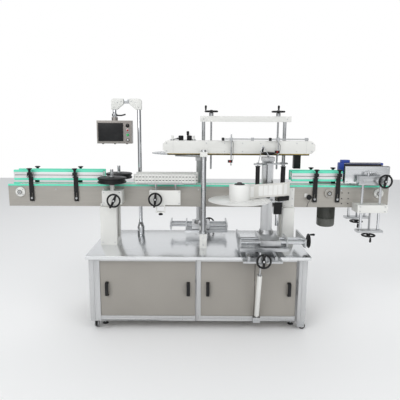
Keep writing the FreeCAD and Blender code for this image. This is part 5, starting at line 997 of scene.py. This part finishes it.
# %% Device brackets
blocks = [softened("device_brackets", 1.4, 3, drop=[((-300, -200, 840), (-280, -160, 868))]),
          star_knob((-290.25, -182, 866.4), "-Z", 2, 7)]
for side, out in SIDES:
    blocks += [screws(spots((-722, -602), (side * 181,), (940, 1020)), out),
               screws(spots((-362, -148), (side * 194,), (940, 1028)), out),
               screws(spots((1236, 1426), (side * 190,), (884, 920)), out)]
finished("device_blocks", gather(*blocks), (LIGHT_PAINT, STEEL, BLACK), "device_brackets")

# %% [markdown]
# The gantry is a bridge of ground steel columns with a painted boxed beam on top. Thin cover
# plates close the beam in front and behind. Round columns come out of the CAD model with facets,
# but smooth shading and a merged copy hide them well at this size; clamp collars and screws are
# added where the real columns are held.

# %% Gantry
BEAM_LOW, BEAM_HIGH, FOOT_TOP = 1556.0, 1600.0, 696.0
gantry = [softened("gantry_frame")]
painted(gantry[0], (0, 20, BEAM_LOW - 1), (740, 160, BEAM_HIGH + 1), 2)
painted(gantry[0], (0, -190, 580), (740, 170, FOOT_TOP), 2)
gantry += [brick((140, near, BEAM_LOW + 0.8), (585, near + 2.9, BEAM_HIGH - 0.8), 0.6, 2, 2)
           for near in (31.3, 151.8)]
for x, y in ((38, 126), (696, 126), (38, -147)):
    gantry += [sleeve(20.2, 31, 20, (x, y, FOOT_TOP), edge=1.2),
               screw((x, y - 30.6, FOOT_TOP + 10), "-Y", 7, 3),
               screws(spots((x,), (y - 28,), (610, 665)), "-Y")]
for x in (38, 696):
    gantry += [bar(24, 3, (x, 126, 1597.4), edge=0.6, tone=1, steps=HEX_STEPS),
               screw((x, 31.2, 1578), "-Y", 9, 3.6)]
finished("gantry_columns", gather(*gantry), (STEEL, CHROME, LIGHT_PAINT), "gantry_frame")

# %% [markdown]
# The press housing is a long light-painted box with chamfered corners, closed by plates at both
# ends. Its belt runs below in a flat loop: a dark ribbed belt over a yellow layer, so two
# stadium outlines are padded, one over the other, and the lower edge gets fine cross ribs.

# %% Press housing and belt
PRESS_TOP, KNURLS, KNURL_RIB = 1410.0, 24, ((18, -0.9, 5), (20, 0.9, 33))
press = [softened("press_housing", 1.6, 3, drop=[((-170, -30, 1411), (-110, 30, 1440)),
                                                 ((-100, -30, 1462), (-50, 30, 1490))])]
painted(press[0], (650, -60, 1100), (850, 200, 1300), 2)
for x in (-140, -74):
    press += [turning([(0, 0), (17, 0), (19, 3), (19, 35), (17, 38), (0, 38)], (x, 0, PRESS_TOP), edge=0.8,
                      tone=2),
              repeated(brick(*KNURL_RIB, 0.3, 1, 2),
                       [facing((x, 0, PRESS_TOP), "Z", 360 / KNURLS * k) for k in range(KNURLS)])]
press += [turning([(0, 0), (8, 0), (10, 6), (11, 26), (9, 34), (0, 34)], (-86, 0, 1448), edge=1.0, tone=2),
          screws(spots((-250, 60, 200, 340, 480, 620, 760, 878), (-60,), (1330, 1392)), "-Y", 8, 3)]
press += [sleeve(9, 15, 9, (x, 0, PRESS_TOP), tone=1) for x in (-206, -39)]
press += [brick((x, -60.9, 1319), (x + 1.2, -59.4, 1403), 0.3, 1, 1) for x in (-200, 836)]
finished("press_cover", gather(*press), (LIGHT_PAINT, STEEL, BLACK), "press_housing")

BEND_STEPS = 24


def belt_loop(half, radius, x, y, low, high, tone):
    """A flat belt loop seen from above: two round ends joined by straight runs, padded in height."""
    corners = []
    for sign in (1, -1):
        for k in range(BEND_STEPS + 1):
            angle = math.pi * (k / BEND_STEPS - 0.5)
            corners.append((x + sign * (half + radius * math.cos(angle)),
                            y + sign * radius * math.sin(angle)))
    return plate(corners, low, high, 0.8, 1, tone)


PRESS_MIDDLE, BELT_HALF, BELT_RIBS, BELT_PITCH = 312.5, 533.5, 110, 9.6
RIB_START = PRESS_MIDDLE - BELT_HALF + 5
belt = gather(belt_loop(BELT_HALF, 28, PRESS_MIDDLE, 0, 1297, 1304, 0),
              belt_loop(BELT_HALF, 27.4, PRESS_MIDDLE, 0, 1304, 1312, 1),
              repeated(brick((RIB_START, -27, 1297), (RIB_START + 4.2, 27, 1298.4), 0),
                       [Matrix.Translation((BELT_PITCH * k * MM, 0, 0)) for k in range(BELT_RIBS)]))
finished("press_belt_form", belt, (BELT, BELT_EDGE), "press_belt")

# %% [markdown]
# Optical sensors hang on thin rods from a cross bar above the lane. Each holder is a small
# clamping block with a knurled knob, and each sensor a little box with a lens and a lead that
# runs up beside the rod.

# %% Sensor brackets
ROD_Y, LEAD_DIA, LEAD_BEND = -84.0, 3.4, 8.0
sensors = [softened("sensor_brackets")]
for x, top, low in ((250, 1462, 1222), (612, 1442, 1296)):
    painted(sensors[0], (x - 26, -98, low + 18), (x + 14, -70, low + 45), 1)
    lead = [(x + 9, low + 36), (x + 15, low + 46), (x + 15, top - 62), (x + 6, top - 52), (x + 6, top - 44)]
    sensors += [turning([(0, 0), (11, 0), (12, 3), (12, 19), (10, 22), (0, 22)], (x - 74.8, ROD_Y, 1424), "X",
                        0.8, SMALL_STEPS, 1),
                turning([(0, 0), (6, 0), (6, 0.8), (4.5, 1.6), (0, 1.6)], (x - 8, -94.6, low + 32), "-Y", 0.3,
                        SMALL_STEPS, 2),
                bent_rod([(across, ROD_Y, level) for across, level in lead], LEAD_DIA, LEAD_BEND, 1)]
finished("sensor_rods", gather(*sensors), (STEEL, BLACK, RED), "sensor_brackets")

# %% [markdown]
# The screen stands on a chromed post with a turned foot. Two square elbows and a flat arm carry it
# out to the left, where a lever clamps the neck of the control box.

# %% Screen post
POST_X, NECK_X, POST_Y, TABLE_TOP = -495.0, -697.0, 214.0, 585.0
ELBOW_LOW, ELBOW_HALF = 1652.0, 23.0
ELBOW = ((ELBOW_HALF, 0), (ELBOW_HALF, 73), (8, 88), (-77, 88), (-77, 44), (-ELBOW_HALF, 0))
post = [turning([(0, 0), (31, 0), (31, 76), (29, 80), (17, 121), (16, 122), (0, 122)],
                (POST_X, POST_Y, TABLE_TOP), edge=0.8),
        bar(32, 989, (POST_X, POST_Y, 663), edge=0.4, steps=ROUND_STEPS),
        bar(30, 88.7, (NECK_X, POST_Y, 1563.3), edge=0.4, steps=ROUND_STEPS),
        bar(45, 24, (NECK_X, POST_Y, 1595), edge=1.6, tone=1, steps=ROUND_STEPS),
        brick((-622, POST_Y - 7, 1700.4), (-570, POST_Y + 7, 1735.6), 1.2, 2, 1),
        screws(spots((POST_X,), (183.4,), (600, 640)), "-Y", 8, 3),
        bent_rod([(NECK_X, POST_Y, 1607), (NECK_X + 52, POST_Y, 1603), (NECK_X + 90, POST_Y, 1613)], 12, 20,
                 2),
        turning([(0, 0), (8, 0), (8, 9), (5.5, 11), (0, 11)], (NECK_X, POST_Y - 21, 1607), "-Y", 0.6,
                SMALL_STEPS, 1)]
for x, sign in ((POST_X, 1), (NECK_X, -1)):
    post += [plate([(sign * across, up) for across, up in ELBOW], -ELBOW_HALF, ELBOW_HALF, 3.0, 3, 3,
                   facing((x, POST_Y, ELBOW_LOW), "-Y")),
             screws([(x + sign * shift, POST_Y - ELBOW_HALF + 0.4, ELBOW_LOW + rise)
                     for shift, rise in ((0, 16), (-30, 56), (-60, 66))], "-Y", 8, 3)]
finished("screen_stand", gather(*post), (CHROME, STEEL, BLACK, LIGHT_PAINT), "screen_post")

# %% [markdown]
# The control box is a painted steel box with a touch screen in a dark bezel. Right of the screen
# sit a rotary main switch, a red lamp, a green start button and a small round socket, one below
# the other. Louvres are cut in the box's sides, and three glands lead the cables in at the bottom.

# %% Control box
CONTROL_X, BOX_FACE, BOX_LOW = -586.0, 172.0, 1375.0
SWITCH_LEVEL, LAMP_LEVEL, START_LEVEL, SOCKET_LEVEL = 1521.6, 1484.0, 1446.4, 1405.1
box = [softened("control_box", 3.0, 3),
       brick((-828, BOX_FACE - 5.4, 1395), (-623, BOX_FACE + 1, 1543), 1.8, 3, 1),
       brick((-811, BOX_FACE - 3.4, 1409.5), (-640, BOX_FACE + 1, 1528.5), 1.8, 3, 2),
       brick((-828, BOX_FACE - 6.6, 1395), (-623, BOX_FACE - 5.4, 1543), 0.6, 2, 1),
       turning([(0, 0), (8.6, 0), (8.6, 5), (6, 6.6), (0, 7)], (CONTROL_X, BOX_FACE, LAMP_LEVEL), "-Y", 0.5,
               SMALL_STEPS, 4),
       bar(21, 6.8, (CONTROL_X, BOX_FACE, SOCKET_LEVEL), "-Y", 0.8, 1),
       bar(13, 1.2, (CONTROL_X, BOX_FACE - 6.8, SOCKET_LEVEL), "-Y", 0.4, 3)]
box += [brick((x, 190, z), (x + 1.6, 236, z + 3.4), 0.5, 1, 3) for x in (-840.4, -555.2)
        for z in range(1400, 1455, 9)]
box += [sleeve(bore, radius, 2.2, (CONTROL_X, BOX_FACE + 0.2, level), "-Y", 0.5, tone)
        for level, bore, radius, tone in ((SWITCH_LEVEL, 13.4, 16, 1), (LAMP_LEVEL, 8.7, 13, 3),
                                          (START_LEVEL, 11.6, 15, 3), (SOCKET_LEVEL, 10.6, 14, 1))]
box += [bar(18, 7, (x, 214, BOX_LOW + 0.4), "-Z", 0.8, 1, HEX_STEPS) for x in (-800, -700, -600)]
finished("control_box_form", gather(*box), (BOX_PAINT, BLACK, SCREEN, STEEL, RED), "control_box")

SWITCH_AT, START_AT = (CONTROL_X, 171.7, SWITCH_LEVEL), (CONTROL_X, 167.7, START_LEVEL)
main_switch = gather(
    turning([(0, 0), (13, 0), (13, 6.5), (11.5, 9), (0, 9)], SWITCH_AT, "-Y", 0.5, MEDIUM_STEPS),
    brick((CONTROL_X - 3.6, 153.8, 1510), (CONTROL_X + 3.6, 164, 1533.2), 1.6, 3),
    brick((CONTROL_X - 0.7, 153.4, 1524), (CONTROL_X + 0.7, 155, 1532), 0.3, 1, 1),
    bar(13, 26, SWITCH_AT, "Y", 0.5))
finished("main_switch_form", main_switch, (BLACK, WHITE_PLASTIC), "main_switch")
start_button = gather(
    turning([(0, 0), (11, 0), (11, 6), (10, 8.2), (7, 9), (0, 9.0)], START_AT, "-Y", 0.4, MEDIUM_STEPS),
    bar(15, 18, START_AT, "Y", 0.5, 1))
finished("start_button_form", start_button, (GREEN, STEEL), "start_button")

# %% [markdown]
# The front label head rides on two slides. The lower one runs across the bench on a plate that
# a sloping strut holds up, the upper one runs along the bench on two chromed rods. The CAD solids
# are fused, so each bright rod is laid over its CAD bar as a sleeve a few hundredths larger.

# %% Slides of the front label head
STRUT_FOOT, STRUT_HEAD = Vector((437, -394, 95)), Vector((437, -532, 578))
strut = STRUT_HEAD - STRUT_FOOT
base = gather(
    softened("front_head_base", 1.2, 3),
    screws(spots((330, 570), (-120, -330, -540), (599,)), dia=10),
    screws(spots((354, 546), (-110, -250, -400, -520), (624.6,)), dia=7, high=2.5),
    sleeve(6.3, 17.4, strut.length * 0.72, STRUT_FOOT + strut * 0.08, tuple(strut), 1.2, 2))
finished("front_base_plate", base, (STEEL, CHROME, LIGHT_PAINT), "front_head_base")


def slide_rods(left, right, y_pair):
    """Two bright sleeves over a slide's rods."""
    return gather(*[sleeve(11, 12.15, right - left, (left, y, SLIDE_LEVEL), "X", 0.2, 1, MEDIUM_STEPS)
                    for y in y_pair])


saddle = gather(
    softened("front_saddle", 1.2, 3), slide_rods(314.2, 779.8, (-225, -337)),
    screws(spots((302,), (-90, -225, -337), (SLIDE_LEVEL,)), "-X", 11, tone=0),
    screws(spots((792,), (-90, -225, -337), (SLIDE_LEVEL,)), "X", 11, tone=0),
    screws(spots((330, 450, 620), (-160, -384), (649.1,)), tone=0))
finished("front_slide", saddle, (STEEL, CHROME), "front_saddle")

# %% [markdown]
# The head's column is a slotted aluminium bar on a turned flange, with a cap that carries the
# height screw.

# %% Column of the front label head
column = gather(
    softened("front_carriage", 1.0, 3),
    screws(around(530, -118, 699, 52, 45), high=5),
    screws(spots((470, 590), (-90, -345), (696,)), dia=10),
    screws(spots((498, 562), (-164.8,), (1277,)), "-Y", 8, 3))
finished("front_column", column, (ALUMINIUM, STEEL), "front_carriage")

# %% [markdown]
# The head itself is a sleeve on that column. An arm holds the label reel, a tall plate and a top
# plate hold the rollers, and a small drive hangs at the side. Black covers stand over the drive
# and a bright can below it.

# %% Front label head
head = gather(
    painted(softened("front_head", 1.4, 3), (583.4, -150, 840), (646, -86, 945), 1),
    turning([(0, 0), (14.2, 0), (14.2, 92), (10, 96.2), (0, 96.2)], (614.3, -118, 850), "-Z", 0.8,
            MEDIUM_STEPS, 2),
    *[brick((590, -150.6, level), (639, -148.8, level + 4), 0.8, 2, 1) for level in range(868, 933, 16)],
    screws([(426, -246, 1250), (452, -246, 1250), (548, -215, 1250), (600, -195, 1250), (660, -145, 1250),
            (634, -112, 1250)], "Z", 8, 3.2, 2),
    star_knob((530, -186.4, 1000), "-Y", 1, 9),
    bent_rod([(440, -228, 1244), (475, -206, 1386), (560, -206, 1244)], 6, 14, 2),
    plate([(612, -184), (706, -114), (700, -101), (606, -171)], 955, 990, 2.0, 3, 1),
    cap_knob((298, -318, 1106.6), 15, 1))
finished("label_head", head, (STEEL, BLACK, CHROME), "front_head")


# %% [markdown]
# A reel is a flat disc on a hub. The label roll on it is hundreds of paper layers; spinning an
# outline with a slightly stepped edge shows them without modelling each one.

# %% Label reels
REEL_STEPS = 128


def reel_form(x, y, level):
    """A reel disc with its hub, and the roll of labels that sits on it."""
    disc = turning([(38, 0), (226, 0), (228, 1.2), (228, 4.8), (226, 6), (38, 6)], (x, y, level), "Z", 0,
                   REEL_STEPS, 0, True)
    boss = sleeve(15.1, 30, 14.5, (x, y, level - 14), edge=1.0, tone=2, steps=FINE_STEPS)
    hub = turning([(15.1, 5), (38, 5), (38, 122), (35, 125), (15.1, 125)], (x, y, level), "Z", 0.8,
                  FINE_STEPS, 2, True)
    roll = turning([(38.2, 6.2), (75, 6.2), (75, 118), (70, 118), (69.8, 117.2), (64, 117.4), (63.8, 118),
                    (57, 117.8), (56.8, 117.0), (50, 117.2), (49.8, 118), (43, 118), (42.8, 119),
                    (38.2, 119)], (x, y, level), "Z", 0.3, DISC_STEPS, 1, True)
    return gather(disc, boss, hub, roll)


finished("front_reel_form", reel_form(298, -318, 986), (REEL_SHEET, PAPER, BLACK), "front_reel")
finished("rear_reel_form", reel_form(-172, 300, 1290), (ACRYLIC, PAPER, BLACK), "rear_reel")

# %% [markdown]
# The rollers are soft black sleeves between two lips, on bright shafts. The backing web runs from
# the roll over both of them, and carries blank labels at an even pitch.

# %% Rollers and label web
TOP_PLATE = 1250.3
for roller, x, y, dia, low, high in (("feed_roller", 439, -232, 38, 1006, 226),
                                     ("nip_roller", 648, -128, 42, 1070, 150)):
    lip, waist, seat = dia / 2, dia * 0.42, TOP_PLATE - low
    cover = turning([(0, 0), (lip, 0), (lip, 4), (waist, 6), (waist, high - 6), (lip, high - 4), (lip, high),
                     (5, high), (0, high)], (x, y, low), "Z", 0.5, FINE_STEPS)
    shaft = turning([(0, high - 1), (5, high - 1), (5, seat), (10, seat), (10, seat + 8), (0, seat + 8)],
                    (x, y, low), "Z", 0.5, 32, 1)
    finished(roller + "_form", gather(cover, shaft), (BLACK, STEEL), roller)

WEB = ((373.3, -318.0), (441.0, -257.0), (652.0, -155.0), (710.0, -100.0))
LABEL_LOW, LABEL_HIGH, LABEL_LONG, LABEL_PITCH = 1010.0, 1086.0, 38.0, 44.0
web = [softened("label_web", 0)]
for start, end in zip(WEB, WEB[1:]):
    run = Vector(end) - Vector(start)
    way = run.normalized()
    out = Vector((way.y, -way.x))
    for k in range(int((run.length - 8) / LABEL_PITCH)):
        near = Vector(start) + way * (6 + LABEL_PITCH * k) + out * 0.95
        far = near + way * LABEL_LONG
        web.append(plate([near, far, far + out * 0.5, near + out * 0.5], LABEL_LOW, LABEL_HIGH, 0.1, 1, 1))
finished("label_web_form", gather(*web), (BACKING, PAPER), "label_web")

# %% [markdown]
# The rear label head is the same unit turned round behind the conveyor. Its reel sits high, over
# the bench, so that its labels reach the bottles from the far side.

# %% Rear label head
rear_wheel = handwheel(377, 60)
for face in rear_wheel.faces:
    face.material_index = (2, 0, 3)[face.material_index]
rear = gather(
    softened("rear_head", 1.2, 3, drop=[((40, 430, 560), (160, 660, 665))],
             paint=[((-60, 160, 700), (80, 420, 1420), 3)]),
    slide_rods(-230, 236, (225, 337)),
    placed(rear_wheel, facing((100, 596, WHEEL_LEVEL), "Y", 90)),
    screws(spots((-242,), (190, 225, 337), (SLIDE_LEVEL,)), "-X", 11, tone=0),
    screws(spots((248,), (190, 225, 337), (SLIDE_LEVEL,)), "X", 11, tone=0),
    screws(spots((-20, 220), (180, 540), (599,)), dia=10, tone=0),
    cap_knob((-172, 300, 1410.6), 11, 2))
finished("rear_label_head", rear, (STEEL, CHROME, BLACK, ALUMINIUM), "rear_head")

# %% [markdown]
# At the outlet a wrap-round unit rolls the bottle along a soft pad so that the label smooths down.
# The pad is a black cushion on a plate. Across the lane a driven belt runs round two upright
# rollers, with a blue guard strip and a blue drive box on top.

# %% Wrap-round unit
WRAP_RODS, LIFT_TOP = (1262, 1358.6), 1084.0
lift = [softened("wrap_lift", 1.4, 3), lever((1300, -140, 1150), (1, -0.2, 0), 60, 14, 1)]
for side, foot in ((-1, 712), (1, 762)):
    lift.append(screws(spots((1240, 1420), (side * 140,), (1150,))))
    for x in (1262, 1400):
        lift += [sleeve(9, 10.15, LIFT_TOP - foot - 18.2, (x, side * 140, foot + 18.1), "Z", 0.2, 1,
                        MEDIUM_STEPS),
                 bar(18, 6, (x, side * 140, foot + 0.2), "-Z", 0.6, 1, HEX_STEPS)]
finished("wrap_frame", gather(*lift), (STEEL, CHROME), "wrap_lift")

pad = gather(brick((1141, -64, 1084), (1492, -42, 1220), 5.0, 4),
             brick((1143, -76, 1086), (1490, -63, 1218), 1.5, 3, 1),
             *[bar(14, 91, (x, -76, 1117), "-Y", 1.0, 2) for x in WRAP_RODS],
             screws(spots((1160, 1473), (-75.8,), (1100, 1204)), "-Y", 9, 3.2, 2))
finished("wrap_pad_form", pad, (FOAM, STAINLESS, CHROME), "wrap_pad")

BELT_X, BELT_Y, BELT_REACH = 1314.0, 72.0, 148.0
wrap = gather(
    belt_loop(BELT_REACH, 30, BELT_X, BELT_Y, 1092, 1226, 0),
    belt_loop(BELT_REACH, 29, BELT_X, BELT_Y, 1084, 1090, 1),
    belt_loop(BELT_REACH, 29, BELT_X, BELT_Y, 1228, 1234, 1),
    brick((1150, 44, 1089), (1478, 100, 1229), 1.0, 2, 1),
    brick((1145, 43, 1220), (1484, 101, 1234), 1.4, 3, 2),
    brick((1150, 48, 1234), (1218, 96, 1258), 4.0, 3, 2),
    brick((1133, 41, 1128), (1172, 103, 1236), 6.0, 4, 2),
    *[bar(14, 58, (x, 102, 1117), "Y", 0.8, 3) for x in WRAP_RODS],
    *[turning([(0, 0), (10, 0), (10, 3), (5, 4.5), (0, 4.5)], (x, BELT_Y, 1233.8), "Z", 0.6, SMALL_STEPS, 3)
      for x in (1166, 1462)])
finished("wrap_belt_form", wrap, (BELT, ALUMINIUM, BLUE, STEEL), "wrap_belt")

# %% [markdown]
# The CAD solids under these pieces keep their own finishes too, by the slot that the record names
# for each of them, so that a solid that is shown again looks like its piece.

# %% Finishes of the CAD solids
LOOK_OF = {"stainless": STAINLESS, "steel": STEEL, "chrome": CHROME, "aluminium": ALUMINIUM,
           "panel_grey": PANEL, "plate_grey": PLATE, "light_paint": LIGHT_PAINT, "dark_motor": MOTOR_PAINT, "teal": TEAL,
           "white_plastic": WHITE_PLASTIC, "black_plastic": BLACK, "black_foam": FOAM,
           "grey_plastic": REEL_SHEET,
           "rubber": RUBBER, "belt": BELT, "box_grey": BOX_PAINT, "paper": PAPER, "red": RED}
for row in frame["record"]["subparts"]:
    for holder in NODES[row["node"]].material_slots:
        holder.link = "OBJECT"
        holder.material = LOOK_OF[row["material_slot"]]
